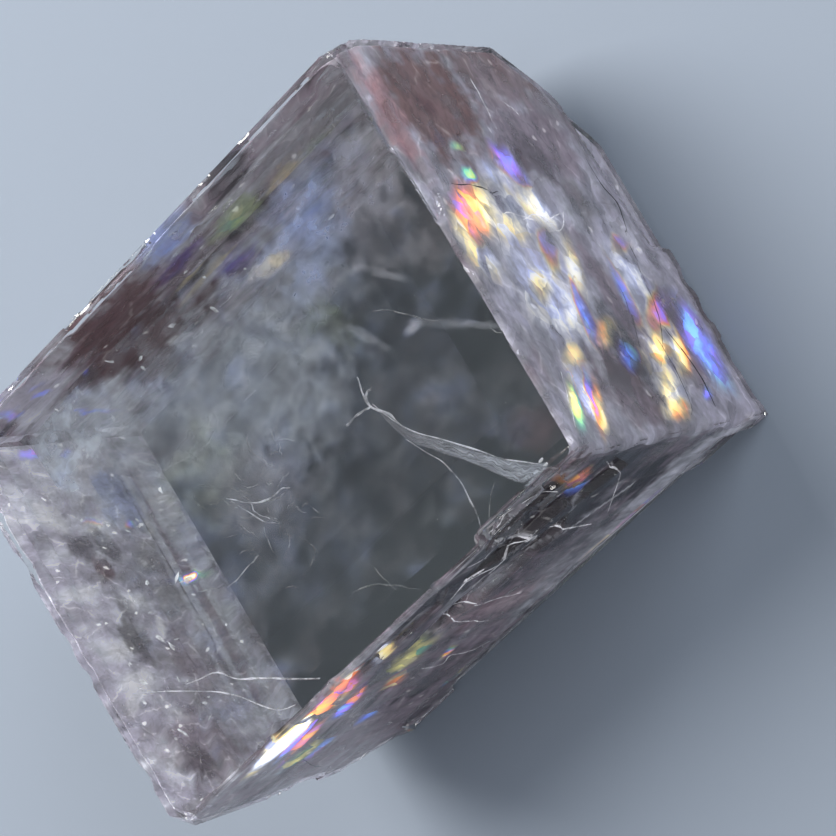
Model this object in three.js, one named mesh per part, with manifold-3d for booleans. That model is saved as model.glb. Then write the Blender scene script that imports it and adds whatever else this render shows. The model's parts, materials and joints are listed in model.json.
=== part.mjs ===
// A cleavage block of clear calcite (Iceland spar) lying on its broad lower face.
// Millimetres, +Z up. It is one natural piece, so the model is one solid: a rhombohedral block
// whose every face is a cleavage face, with the steps, ribs, ledges and chips of a broken one.
//
// Places in the block are given along its own three edges, all measured from the blunt corner
// where the top, right and front faces meet: so far left, so far back and so far down.

import * as THREE from "three";
import { mergeVertices } from "three/addons/utils/BufferGeometryUtils.js";
import Module from "manifold-3d";

const wasm = await Module();
wasm.setup();

// Driving dimensions.
const LONG_EDGE = 36; // the longest edge, running left
const BACK_EDGE = 27.25; // running back
const DOWN_EDGE = 18.95; // running down, the thickness of the block along its edge
const BLUNT_ANGLE = 101.92; // degrees between any two edges at a blunt corner of calcite
const OUTSIDE = 2; // how far a cutter reaches past the surface it opens

// The three edge directions at the blunt corner.
const lean = -Math.cos(THREE.MathUtils.degToRad(BLUNT_ANGLE));
const upright = Math.sqrt(1 - lean * lean);
const leftward = new THREE.Vector3(-1, 0, 0);
const backward = new THREE.Vector3(lean, upright, 0);
const forward = -(lean + lean * lean) / upright;
const downward = new THREE.Vector3(lean, forward, -Math.sqrt(1 - lean * lean - forward * forward));

function spot(left, back, down) {
  return new THREE.Vector3()
    .addScaledVector(leftward, left)
    .addScaledVector(backward, back)
    .addScaledVector(downward, down);
}

// The six faces: the corner that each is drawn from, its two drawing directions and the edge
// direction that leads out of the stone through it.
const outOf = (direction) => direction.clone().negate();
const faces = {
  top: { corner: spot(0, 0, 0), across: leftward, along: backward, out: outOf(downward) },
  bottom: { corner: spot(0, 0, DOWN_EDGE), across: leftward, along: backward, out: downward },
  right: { corner: spot(0, 0, 0), across: backward, along: downward, out: outOf(leftward) },
  left: { corner: spot(LONG_EDGE, 0, 0), across: backward, along: downward, out: leftward },
  front: { corner: spot(0, 0, 0), across: leftward, along: downward, out: outOf(backward) },
  back: { corner: spot(0, BACK_EDGE, 0), across: leftward, along: downward, out: backward },
};

// Repeatable scatter for ribs and chips.
let seed = 20417;
function scatter(low, high) {
  seed = (seed * 16807) % 2147483647;
  return low + ((high - low) * seed) / 2147483647;
}

function solidOf(geometry) {
  geometry.deleteAttribute("normal");
  geometry.deleteAttribute("uv");
  const merged = mergeVertices(geometry, 1e-5);
  const mesh = new wasm.Mesh({
    numProp: 3,
    vertProperties: new Float32Array(merged.attributes.position.array),
    triVerts: new Uint32Array(merged.index.array),
  });
  return new wasm.Manifold(mesh);
}

// A geometry moved into the crystal's slanted directions. Where those make a left-handed set,
// its triangles are turned round so that they still face out.
function slanted(geometry, origin, x, y, z) {
  const frame = new THREE.Matrix4().makeBasis(x, y, z).setPosition(origin);
  const plain = geometry.index ? geometry.toNonIndexed() : geometry;
  plain.applyMatrix4(frame);
  if (frame.determinant() < 0) {
    const points = plain.attributes.position;
    for (let first = 0; first < points.count; first += 3) {
      const second = new THREE.Vector3().fromBufferAttribute(points, first + 1);
      const third = new THREE.Vector3().fromBufferAttribute(points, first + 2);
      points.setXYZ(first + 1, third.x, third.y, third.z);
      points.setXYZ(first + 2, second.x, second.y, second.z);
    }
  }
  return plain;
}

// A prism standing on an outline drawn on a face, from so deep in the stone to so far outside.
function prism(face, outline, deep, outside = OUTSIDE) {
  const shape = new THREE.Shape(outline.map(([across, along]) => new THREE.Vector2(across, along)));
  const geometry = new THREE.ExtrudeGeometry(shape, { depth: deep + outside, bevelEnabled: false });
  const origin = face.corner.clone().addScaledVector(face.out, -deep);
  return solidOf(slanted(geometry, origin, face.across, face.along, face.out));
}

// Everything beyond the plane through three spots, on the side away from the stone's middle.
function beyond(first, second, third) {
  const normal = new THREE.Plane().setFromCoplanarPoints(first, second, third).normal;
  const middle = spot(LONG_EDGE / 2, BACK_EDGE / 2, DOWN_EDGE / 2);
  if (normal.dot(middle.clone().sub(first)) > 0) {
    normal.negate();
  }
  const reach = 2 * LONG_EDGE;
  const slab = new THREE.BoxGeometry(reach, reach, reach);
  slab.applyQuaternion(new THREE.Quaternion().setFromUnitVectors(new THREE.Vector3(0, 0, 1), normal));
  const centre = first.clone().add(second).add(third).divideScalar(3).addScaledVector(normal, reach / 2);
  slab.translate(centre.x, centre.y, centre.z);
  return solidOf(slab);
}

// A shell-shaped chip: a faceted ball that bites so deep into an edge or a face.
function chip(surfaceSpot, outward, radius, bite) {
  const ball = new THREE.IcosahedronGeometry(radius, 2);
  ball.rotateX(scatter(0, Math.PI));
  ball.rotateZ(scatter(0, Math.PI));
  const centre = surfaceSpot.clone().addScaledVector(outward, radius - bite);
  ball.translate(centre.x, centre.y, centre.z);
  return solidOf(ball);
}

// Long narrow ribs left where a face broke in steps. They run across the face, start and end
// aslant, and lie one over another at different depths.
function ribs(face, { count, length, height, width, longest, depths }) {
  const cutters = [];
  for (let rib = 0; rib < count; rib += 1) {
    const size = longest * scatter(0.25, 0.75);
    const start = scatter(-0.1, 0.85) * length;
    const low = ((rib + scatter(0.1, 0.9)) / count) * height;
    const high = low + scatter(width[0], width[1]);
    const slant = scatter(-1.6, 1.6);
    const drift = scatter(-0.25, 0.25);
    const outline = [
      [start, low],
      [start + size, low + drift],
      [start + size + slant, high + drift],
      [start + slant * 0.4, high],
    ];
    cutters.push(prism(face, outline, scatter(depths[0], depths[1])));
  }
  return cutters;
}

// Shallow shell-shaped hollows on a broken face.
function hollows(face, { count, length, height, bite }) {
  const outward = face.across.clone().cross(face.along).normalize();
  if (outward.dot(face.out) < 0) {
    outward.negate();
  }
  const cutters = [];
  for (let hollow = 0; hollow < count; hollow += 1) {
    const across = ((hollow + scatter(0.1, 0.9)) / count) * length;
    const middle = face.corner
      .clone()
      .addScaledVector(face.across, across)
      .addScaledVector(face.along, scatter(0.06, 0.94) * height);
    cutters.push(chip(middle, outward, scatter(1.6, 5), scatter(bite[0], bite[1])));
  }
  return cutters;
}

// Ledges and steps that have a place of their own.
function ledges() {
  const { top, right, left, front, back, bottom } = faces;
  const past = OUTSIDE;
  return [
    // The narrow step along the back half of the edge between the top and right faces.
    prism(right, [[15.2, -past], [29.5, -past], [29.5, 1.35], [17.1, 1.15], [15.6, 0.5]], 0.3),
    prism(right, [[19.8, -past], [29.5, -past], [29.5, 0.62], [20.6, 0.5]], 0.58),
    // The ledge low on the right face, along the bottom edge.
    prism(right, [[12.1, 17.4], [21.5, 16.7], [29.5, 16.4], [29.5, 21], [11.2, 21]], 0.42),
    prism(right, [[1.2, 18.1], [5.2, 17.9], [6.1, 21], [0.6, 21]], 0.14),
    prism(right, [[4.4, 15.2], [15.8, 14.6], [17.2, 15.5], [5.6, 16.3]], 0.16),
    // The long double ledge under the left face.
    prism(left, [[-past, 18.1], [29.5, 18.1], [29.5, 21], [-past, 21]], 1.25),
    prism(left, [[-past, 16.9], [17.5, 16.9], [18.6, 17.5], [29.5, 17.6], [29.5, 21], [-past, 21]], 0.4),
    // Steps round the blunt corner, under the edge between the top and front faces.
    prism(front, [[-past, -past], [2.6, -past], [3.3, 0.9], [1.2, 1.5], [-past, 1.4]], 0.34),
    prism(front, [[2.2, 0.55], [7.6, 0.3], [9.1, 1.1], [6.4, 2.7], [3.1, 2.4]], 0.85),
    prism(front, [[3.4, 3.2], [8.3, 2.2], [12.4, 2.5], [10.2, 4.9], [5.5, 5.3]], 0.6),
    prism(front, [[1.1, 4.4], [4.9, 3.6], [6.1, 6.2], [2.4, 7.4]], 0.45),
    prism(front, [[6.6, 6.4], [14.8, 4.3], [19.7, 4.8], [15.1, 7.6], [8.9, 8.3]], 0.5),
    prism(front, [[12.2, 1.2], [20.4, 0.9], [22.6, 2.2], [14.7, 3.1]], 0.28),
    // The band along the lower edge of the front face.
    prism(front, [[1.8, 16.1], [12.9, 15.3], [20.1, 15.9], [30.5, 14.9], [33, 21], [0.9, 21]], 0.45),
    prism(front, [[6.2, 17.5], [17.3, 17], [27.4, 17.6], [29.9, 21], [4.4, 21]], 0.8),
    // The smooth broken facet low at the left end of the front face.
    beyond(spot(28.5, 0, 17.5), spot(34.2, 0, 5.5), spot(35.2, 0.35, 14)),
    // Broad thin steps on the hidden faces.
    prism(back, [[-past, 9.2], [12.5, 8.1], [21.4, 10.2], [30.1, 9.4], [39, 21], [-past, 21]], 0.35),
    prism(back, [[14.2, 2.1], [27.3, 1.2], [38, 1.6], [38, 6.4], [20.7, 5.6]], 0.3),
    prism(left, [[2.4, 4.4], [13.2, 3.1], [22.1, 5.2], [29, 4.6], [29, 12.1], [9.6, 11.2]], 0.3),
    prism(bottom, [[20.4, 23.1], [31.2, 22.4], [38.5, 24.2], [38.5, 30], [18.8, 30]], 0.14),
    prism(top, [[-past, -past], [10.2, -past], [6.6, 0.55], [2.1, 0.9], [-past, 0.8]], 0.12),
  ];
}

// The corners and edges that are broken off.
function breaks() {
  const far = { left: LONG_EDGE, back: BACK_EDGE, down: DOWN_EDGE };
  return [
    // The back edge of the right face is worn down towards the bottom.
    beyond(spot(0, far.back, 2.4), spot(0, 26.2, 13.9), spot(2.6, far.back, 11.5)),
    // The lowest corner of the right face, back and bottom, is off.
    beyond(spot(0, 26.15, 13.95), spot(0, 19, far.down), spot(6.2, far.back, 17.2)),
    beyond(spot(0, 25.1, 14.4), spot(2.9, far.back, 15.2), spot(1.5, 21.6, far.down)),
    // The corner between top, back and right is chipped.
    beyond(spot(1.5, far.back, 0), spot(0, 26.3, 0), spot(0, far.back, 1.3)),
    // The lowest corner of the front face, left and bottom, is off in steps.
    prism(faces.front, [[32.5, 17.1], [33.8, 16], [35.4, 15.6], [38, 15.2], [38, 21], [32.2, 21]], 3.2),
    prism(faces.front, [[34.9, 15.2], [38, 14.6], [38, 21], [34, 21]], 5.1),
    prism(faces.front, [[34.9, 10], [38, 9.6], [38, 13.4], [35.3, 12.9]], 0.9),
    // Smaller breaks on the corners at the left.
    beyond(spot(34.7, 0, 0), spot(far.left, 1.1, 0), spot(far.left, 0, 1.6)),
    beyond(spot(34.9, far.back, 0), spot(far.left, 26.1, 0), spot(far.left, far.back, 0.9)),
    beyond(spot(33.9, far.back, far.down), spot(far.left, 24.8, far.down), spot(far.left, far.back, 16.6)),
  ];
}

// Small chips scattered along the twelve edges.
function edgeChips() {
  const { top, bottom, right, left, front, back } = faces;
  const edges = [
    { from: spot(0, 1.5, 0), to: spot(0, 25, 0), out: [top, right], count: 3, bite: [0.1, 0.22] },
    { from: spot(3, 0, 0), to: spot(34, 0, 0), out: [top, front], count: 6, bite: [0.12, 0.26] },
    { from: spot(36, 2, 0), to: spot(36, 26, 0), out: [top, left], count: 5, bite: [0.15, 0.4] },
    { from: spot(3, 27.25, 0), to: spot(34, 27.25, 0), out: [top, back], count: 5, bite: [0.12, 0.3] },
    { from: spot(0, 0, 1.2), to: spot(0, 0, 17.5), out: [right, front], count: 4, bite: [0.15, 0.4] },
    { from: spot(3, 0, 18.95), to: spot(31, 0, 18.95), out: [front, bottom], count: 6, bite: [0.15, 0.4] },
    { from: spot(0, 1, 18.95), to: spot(0, 18, 18.95), out: [right, bottom], count: 5, bite: [0.15, 0.4] },
    { from: spot(8, 27.25, 18.95), to: spot(33, 27.25, 18.95), out: [back, bottom], count: 4, bite: [0.2, 0.5] },
    { from: spot(36, 27.25, 2), to: spot(36, 27.25, 16), out: [back, left], count: 3, bite: [0.2, 0.5] },
  ];
  const cutters = [];
  for (const edge of edges) {
    const outward = edge.out[0].out.clone().add(edge.out[1].out).normalize();
    for (let place = 0; place < edge.count; place += 1) {
      const share = (place + scatter(0.15, 0.85)) / edge.count;
      const middle = edge.from.clone().lerp(edge.to, share);
      cutters.push(chip(middle, outward, scatter(1.2, 3), scatter(edge.bite[0], edge.bite[1])));
    }
  }
  return cutters;
}

function calciteCrystal() {
  const whole = new THREE.BoxGeometry(1, 1, 1).translate(0.5, 0.5, 0.5).scale(LONG_EDGE, BACK_EDGE, DOWN_EDGE);
  let stone = solidOf(slanted(whole, spot(0, 0, 0), leftward, backward, downward));
  const rough = { height: DOWN_EDGE - 2, width: [0.4, 1.5], depths: [0.08, 0.45] };
  const fine = { height: DOWN_EDGE - 3, width: [0.3, 0.9], depths: [0.06, 0.16] };
  const cutters = [
    ...ribs(faces.back, { ...rough, count: 26, length: LONG_EDGE, longest: 24 }),
    ...ribs(faces.left, { ...rough, count: 24, length: BACK_EDGE, longest: 20 }),
    ...ribs(faces.right, { ...fine, count: 7, length: BACK_EDGE, longest: 11 }),
    ...hollows(faces.back, { count: 20, length: LONG_EDGE, height: DOWN_EDGE, bite: [0.05, 0.3] }),
    ...hollows(faces.left, { count: 20, length: BACK_EDGE, height: DOWN_EDGE, bite: [0.05, 0.35] }),
    ...hollows(faces.front, { count: 9, length: LONG_EDGE, height: DOWN_EDGE, bite: [0.04, 0.14] }),
    ...ledges(),
    ...breaks(),
    ...edgeChips(),
  ];
  for (const cutter of cutters) {
    stone = stone.subtract(cutter);
  }
  const { vertProperties, triVerts } = stone.getMesh();
  const geometry = new THREE.BufferGeometry();
  geometry.setAttribute("position", new THREE.BufferAttribute(vertProperties, 3));
  geometry.setIndex(new THREE.BufferAttribute(triVerts, 1));
  geometry.computeVertexNormals();
  const material = new THREE.MeshStandardMaterial({
    color: 0xa9abb3,
    roughness: 0.08,
    metalness: 0,
    transparent: true,
    opacity: 0.45,
    flatShading: true,
  });
  const crystal = new THREE.Mesh(geometry, material);
  crystal.name = "calcite_crystal";
  return crystal;
}

// The crystal stands with the middle of its outline over the origin, on the ground plane.
const crystal = calciteCrystal();
const extent = new THREE.Box3().setFromObject(crystal);
const middle = extent.getCenter(new THREE.Vector3());
crystal.position.set(-middle.x, -middle.y, -extent.min.z);

const part = new THREE.Group();
part.add(crystal);

export default part;
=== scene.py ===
import json
import math
import random

import bpy
from mathutils import Matrix, Vector, noise
from mathutils.bvhtree import BVHTree


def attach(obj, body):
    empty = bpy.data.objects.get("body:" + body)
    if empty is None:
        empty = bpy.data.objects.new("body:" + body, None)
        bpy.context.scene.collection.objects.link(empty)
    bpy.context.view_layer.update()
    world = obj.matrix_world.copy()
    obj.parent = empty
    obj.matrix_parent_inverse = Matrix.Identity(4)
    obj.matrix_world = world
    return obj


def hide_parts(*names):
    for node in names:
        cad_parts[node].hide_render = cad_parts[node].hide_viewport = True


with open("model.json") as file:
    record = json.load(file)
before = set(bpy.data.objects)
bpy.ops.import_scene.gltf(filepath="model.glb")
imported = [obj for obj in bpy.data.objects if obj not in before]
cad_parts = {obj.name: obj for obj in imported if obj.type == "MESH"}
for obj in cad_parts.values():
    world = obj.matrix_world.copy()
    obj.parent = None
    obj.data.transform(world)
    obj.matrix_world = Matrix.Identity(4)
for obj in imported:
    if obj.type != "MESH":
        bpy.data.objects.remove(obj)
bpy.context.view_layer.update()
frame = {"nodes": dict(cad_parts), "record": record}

MM = 0.001

# The block's own edges, as in the CAD: left, back and down from the blunt corner.
LONG_EDGE = 36.0
BACK_EDGE = 27.25
DOWN_EDGE = 18.95
BLUNT_ANGLE = math.radians(101.92)

LEAN = -math.cos(BLUNT_ANGLE)
UPRIGHT = math.sqrt(1 - LEAN**2)
FORWARD = -(LEAN + LEAN**2) / UPRIGHT
LEFTWARD = Vector((-1, 0, 0))
BACKWARD = Vector((LEAN, UPRIGHT, 0))
DOWNWARD = Vector((LEAN, FORWARD, -math.sqrt(1 - LEAN**2 - FORWARD**2)))


def along_edges(left, back, down):
    """A step in metres of so many millimetres along each of the block's edges."""
    return (LEFTWARD * left + BACKWARD * back + DOWNWARD * down) * MM


rest_mount = next(m for m in frame["record"]["mounts"] if m["name"] == "rest_face")
BLUNT_CORNER = Vector(rest_mount["pos_m"]) - along_edges(LONG_EDGE / 2, BACK_EDGE / 2, DOWN_EDGE)


def spot(left, back, down):
    """A place in the block, in metres in the row frame."""
    return BLUNT_CORNER + along_edges(left, back, down)


# ---------------------------------------------------------------- camera, floor and light

FLOOR_SIZE = 6
FLOOR_GAP = 0.03 * MM

# Where the camera stands and looks, from the blunt corner, and how it is rolled.
EYE = Vector((66.14, -11.45, 167.62)) * MM
AIM = Vector((-5.93, 7.88, 0)) * MM
CAMERA_ROLL = math.radians(-117.8)
LENS_MM = 137.8


def set_camera():
    camera = bpy.data.objects.new("camera", bpy.data.cameras.new("camera"))
    bpy.context.scene.collection.objects.link(camera)
    camera.data.sensor_width = 36
    camera.data.lens = LENS_MM
    camera.data.clip_start = 0.01
    camera.data.clip_end = 20
    turn = (AIM - EYE).to_track_quat("-Z", "Y").to_matrix() @ Matrix.Rotation(CAMERA_ROLL, 3, "Z")
    camera.matrix_world = Matrix.Translation(BLUNT_CORNER + EYE) @ turn.to_4x4()
    bpy.context.scene.camera = camera


def add_softbox(name, place, aim, size, power, colour):
    """A round soft light, its size and place in metres."""
    light = bpy.data.objects.new(name, bpy.data.lights.new(name, "AREA"))
    bpy.context.scene.collection.objects.link(light)
    light.data.shape = "DISK"
    light.data.size = size
    light.data.energy = power
    light.data.color = colour
    light.location = Vector(place)
    light.rotation_euler = (Vector(aim) - Vector(place)).to_track_quat("-Z", "Y").to_euler()


def new_material(name):
    """A plain material that casts no clear shadow and isn't sampled as a lamp."""
    material = bpy.data.materials.new(name)
    material.use_nodes = True
    material.use_transparent_shadow = False
    material.cycles.emission_sampling = "NONE"
    return material, material.node_tree.nodes, material.node_tree.links


def let_light_through():
    """Lets enough light pass through the many thin layers inside the clear block."""
    cycles = bpy.context.scene.cycles
    cycles.max_bounces = 5
    cycles.transmission_bounces = 5
    cycles.diffuse_bounces = 2
    cycles.glossy_bounces = 3
    cycles.transparent_max_bounces = 12
    bpy.context.scene.view_settings.view_transform = "Standard"


def set_floor_and_light():
    bpy.ops.object.select_all(action="DESELECT")
    bpy.ops.mesh.primitive_plane_add(size=FLOOR_SIZE, location=(0, 0, -FLOOR_GAP))
    floor = bpy.context.object
    floor.name = "floor"
    material, nodes, _ = new_material("pale_floor")
    surface = nodes["Principled BSDF"]
    surface.inputs["Base Color"].default_value = (0.26, 0.30, 0.355, 1)
    surface.inputs["Roughness"].default_value = 0.9
    surface.inputs["Specular IOR Level"].default_value = 0.1
    floor.data.materials.append(material)

    world = bpy.data.worlds.new("studio")
    bpy.context.scene.world = world
    world.use_nodes = True
    world.node_tree.nodes["Background"].inputs["Color"].default_value = (0.9, 0.93, 1, 1)
    world.node_tree.nodes["Background"].inputs["Strength"].default_value = 0.42

    add_softbox("key_softbox", (-0.12, 0.34, 0.3), (0, 0, 0), 0.3, 3.9, (1, 0.97, 0.94))
    add_softbox("fill_softbox", (0.5, 0.25, 0.4), (0, 0, 0.01), 0.35, 2, (0.9, 0.94, 1))


# ---------------------------------------------------------------- hand tools


def select_only(piece):
    bpy.ops.object.select_all(action="DESELECT")
    bpy.context.view_layer.objects.active = piece
    piece.select_set(True)


def apply_modifier(piece, kind, **settings):
    select_only(piece)
    modifier = piece.modifiers.new(kind.lower(), kind)
    for name, value in settings.items():
        setattr(modifier, name, value)
    bpy.ops.object.modifier_apply(modifier=modifier.name)


def join_pieces(pieces, name):
    """Joins loose parts into one piece."""
    bpy.ops.object.select_all(action="DESELECT")
    for part in pieces:
        part.select_set(True)
    bpy.context.view_layer.objects.active = pieces[0]
    if len(pieces) > 1:
        bpy.ops.object.join()
    pieces[0].name = name
    return pieces[0]


def finish_piece(piece, material, smooth=True):
    """Gives a piece its finish and lets it ride with the crystal."""
    select_only(piece)
    if smooth:
        bpy.ops.object.shade_smooth()
    piece.data.materials.clear()
    piece.data.materials.append(material)
    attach(piece, "root")


def node(material, kind, values=None, **settings):
    """Adds a shader node; a value that is another node's socket is linked."""
    tree = material.node_tree
    made = tree.nodes.new(kind)
    for name, value in settings.items():
        setattr(made, name, value)
    for socket, value in (values or {}).items():
        if isinstance(value, bpy.types.NodeSocket):
            tree.links.new(value, made.inputs[socket])
        else:
            made.inputs[socket].default_value = value
    return made


def ramp(material, factor, stops):
    """A colour ramp through (place, colour) stops."""
    made = node(material, "ShaderNodeValToRGB", {"Fac": factor})
    elements = made.color_ramp.elements
    while len(elements) < len(stops):
        elements.new(0.5)
    for element, (place, colour) in zip(elements, stops):
        element.position = place
        element.color = (*colour, 1)
    return made.outputs["Color"]


def level(material, factor, low, high, start=0.0, end=1.0):
    """Runs a value from start to end as the factor goes from low to high."""
    made = node(
        material,
        "ShaderNodeMapRange",
        {"Value": factor, "From Min": low, "From Max": high, "To Min": start, "To Max": end},
    )
    return made.outputs["Result"]


def times(material, first, second):
    return node(material, "ShaderNodeMath", {0: first, 1: second}, operation="MULTIPLY").outputs[0]


def plus(material, first, second):
    return node(material, "ShaderNodeMath", {0: first, 1: second}, operation="ADD").outputs[0]


def vector(material, operation, values):
    return node(material, "ShaderNodeVectorMath", values, operation=operation).outputs["Vector"]


def scaled(material, colour, by):
    """A colour or a place made so many times larger."""
    return vector(material, "SCALE", {0: colour, "Scale": by})


def grain(material, turn, lengths, detail, rough):
    """Noise whose grains are so many metres long along a direction turned about +Z."""
    place = node(material, "ShaderNodeTexCoord").outputs["Object"]
    drawn = node(
        material,
        "ShaderNodeMapping",
        {"Vector": place, "Rotation": (0, 0, turn), "Scale": lengths},
        vector_type="TEXTURE",
    )
    values = {"Vector": drawn.outputs["Vector"], "Scale": 1.0, "Detail": detail, "Roughness": rough}
    return node(material, "ShaderNodeTexNoise", values).outputs["Fac"]


# ---------------------------------------------------------------- the stone


def clear_calcite():
    material, nodes, links = new_material("clear_calcite")
    surface = nodes["Principled BSDF"]
    surface.inputs["Base Color"].default_value = (1, 1, 1, 1)
    surface.inputs["Transmission Weight"].default_value = 1
    surface.inputs["Roughness"].default_value = 0.0
    surface.inputs["IOR"].default_value = 1.6
    absorption = nodes.new("ShaderNodeVolumeAbsorption")
    absorption.inputs["Color"].default_value = (0.5, 0.53, 0.515, 1)
    absorption.inputs["Density"].default_value = 68
    links.new(absorption.outputs["Volume"], nodes["Material Output"].inputs["Volume"])
    return material


EDGE_FRAME = Matrix((LEFTWARD, BACKWARD, DOWNWARD)).transposed()
TO_EDGES = EDGE_FRAME.inverted()


def in_edges(point):
    """How many millimetres left, back and down of the blunt corner a point is."""
    return TO_EDGES @ (point - BLUNT_CORNER) / MM


def face_normal(first, second, outward):
    """The direction square to two edges that points the same way as a third."""
    normal = first.cross(second).normalized()
    return normal if normal.dot(outward) > 0 else -normal


FACE_NORMALS = {
    "right": face_normal(BACKWARD, DOWNWARD, -LEFTWARD),
    "left": face_normal(BACKWARD, DOWNWARD, LEFTWARD),
    "front": face_normal(LEFTWARD, DOWNWARD, -BACKWARD),
    "back": face_normal(LEFTWARD, DOWNWARD, BACKWARD),
}

# How high the fine relief stands on each face, in millimetres, and how far it is drawn out
# left, back and down: the broken faces are the rough ones, streaked along their long side.
RELIEF = {
    "right": (0.02, (1.2, 0.2, 1.4)),
    "left": (0.05, (1.2, 0.16, 2.2)),
    "front": (0.03, (0.2, 1.2, 1.5)),
    "back": (0.05, (0.16, 1.2, 2.2)),
}
TERRACES = 5
VOXEL = 0.13 * MM
MOST_TRIANGLES = 190000

# Edges that turn by more than the first stay crisp, and so does the rim of what is flatter
# than the second.
SHARP_ANGLE = math.radians(16)
FLAT_ENOUGH = math.cos(math.radians(1.2))


def terraced(value):
    """Turns a smooth swell into flat treads with short risers between them."""
    step = value * TERRACES
    tread = math.floor(step)
    rise = min(1, max(0, (step - tread - 0.7) / 0.3))
    return (tread + rise * rise * (3 - 2 * rise)) / TERRACES


def copy_of_node(cad_name, name):
    """A merged copy of a CAD node's mesh as an object of its own."""
    source = frame["nodes"][cad_name]
    piece = bpy.data.objects.new(name, source.data.copy())
    bpy.context.scene.collection.objects.link(piece)
    bpy.ops.object.select_all(action="DESELECT")
    bpy.context.view_layer.objects.active = piece
    piece.select_set(True)
    bpy.ops.object.mode_set(mode="EDIT")
    bpy.ops.mesh.select_all(action="SELECT")
    bpy.ops.mesh.remove_doubles(threshold=0.000001)
    bpy.ops.object.mode_set(mode="OBJECT")
    return piece


def roughen_faces(piece):
    """Lifts and lowers each face by its own relief."""
    mesh = piece.data
    moved = []
    for vertex in mesh.vertices:
        place = in_edges(vertex.co)
        shift = Vector()
        for face, (height, stretch) in RELIEF.items():
            normal = FACE_NORMALS[face]
            facing = min(1, max(0, (vertex.normal.dot(normal) - 0.85) / 0.1))
            if facing == 0:
                continue
            sample = Vector(place[axis] * stretch[axis] for axis in range(3))
            swell = noise.fractal(sample * 0.55, 0.9, 2.1, 3) + 0.35 * noise.noise(sample * 2.3)
            shift += normal * (height * facing * (0.5 * swell + 0.5 * terraced(swell)) * MM)
        moved.append(vertex.co + shift)
    for vertex, place in zip(mesh.vertices, moved):
        vertex.co = place


def crisp_rims(mesh):
    """Keeps the flat top and base from bending the light where they meet the sides."""
    beside = {}
    for polygon in mesh.polygons:
        flat = abs(polygon.normal.z) > FLAT_ENOUGH
        for key in polygon.edge_keys:
            beside.setdefault(key, set()).add(flat)
    for edge in mesh.edges:
        if len(beside[edge.key]) == 2:
            edge.use_edge_sharp = True


def make_crystal():
    """The block itself: the CAD form with its fine relief, and its edges kept crisp."""
    form = copy_of_node("calcite_crystal", "calcite_form")
    piece = copy_of_node("calcite_crystal", "calcite_block")
    apply_modifier(piece, "REMESH", mode="VOXEL", voxel_size=VOXEL)
    apply_modifier(piece, "SHRINKWRAP", target=form, wrap_method="NEAREST_SURFACEPOINT")
    roughen_faces(piece)
    triangles = 2 * len(piece.data.polygons)
    apply_modifier(piece, "DECIMATE", ratio=min(1, MOST_TRIANGLES / triangles))
    bpy.data.objects.remove(form)
    finish_piece(piece, clear_calcite(), smooth=False)
    bpy.ops.object.shade_smooth_by_angle(angle=SHARP_ANGLE)
    crisp_rims(piece.data)
    apply_modifier(piece, "WEIGHTED_NORMAL", mode="FACE_AREA", weight=80, keep_sharp=True)
    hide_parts("calcite_crystal")


# ---------------------------------------------------------------- finishes

# The colours that a thin air film in a crack runs through as it thickens.
FILM_COLOURS = [
    (0.00, (0.42, 0.40, 0.54)),
    (0.10, (0.52, 0.60, 0.92)),
    (0.19, (0.92, 0.94, 0.94)),
    (0.29, (1.00, 0.86, 0.38)),
    (0.40, (1.00, 0.44, 0.08)),
    (0.48, (0.98, 0.28, 0.14)),
    (0.54, (0.72, 0.22, 0.52)),
    (0.62, (0.36, 0.18, 0.92)),
    (0.74, (0.12, 0.22, 1.00)),
    (0.83, (0.20, 0.52, 0.95)),
    (0.91, (0.16, 0.74, 0.50)),
    (0.96, (0.52, 0.80, 0.20)),
    (1.00, (0.92, 0.88, 0.30)),
]


def laid_on(material, name, output="Fac"):
    """Reads a value that is laid on the piece point by point."""
    return node(material, "ShaderNodeAttribute", attribute_name=name).outputs[output]


def flat_noise(material, place, detail, rough):
    made = node(
        material,
        "ShaderNodeTexNoise",
        {"Vector": place, "Scale": 1.0, "Detail": detail, "Roughness": rough},
        noise_dimensions="2D",
    )
    return made.outputs


def flat_cells(material, place, lengths, **settings):
    """Flat cells so many millimetres long each way."""
    drawn = vector(material, "DIVIDE", {0: place, 1: (*lengths, 1)})
    values = {"Vector": drawn, "Scale": 1.0}
    return node(material, "ShaderNodeTexVoronoi", values, voronoi_dimensions="2D", **settings).outputs


def crazing(material, streak, chip):
    """Where each place lies on the slightly bent layer, its fine streaks and its flat chips."""
    place = laid_on(material, "sheet_place", "Vector")
    drift = flat_noise(material, scaled(material, place, 0.8), 2.0, 0.6)["Color"]
    bent = vector(material, "MULTIPLY_ADD", {0: drift, 1: (0.6, 0.6, 0), 2: place})
    drawn = vector(material, "DIVIDE", {0: bent, 1: (*streak, 1)})
    return bent, flat_noise(material, drawn, 3.0, 0.62)["Fac"], flat_cells(material, bent, chip)


def hair_cracks(material, rims, fine, chips, chip_values, cracks, sparkle):
    """The white hair cracks round the larger chips, with a painted glow, and the painted glints inside the
    small ones.
    """
    lines = level(material, rims["Distance"], 0.0, 0.045, cracks, 0.0)
    lines = times(material, lines, level(material, fine, 0.47, 0.66))
    points = level(material, chip_values[2], 0.93, 0.95, 0.0, sparkle)
    points = times(material, points, level(material, chips["Distance"], 0.1, 0.2, 1.0, 0.0))
    return plus(material, lines, points)


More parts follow.
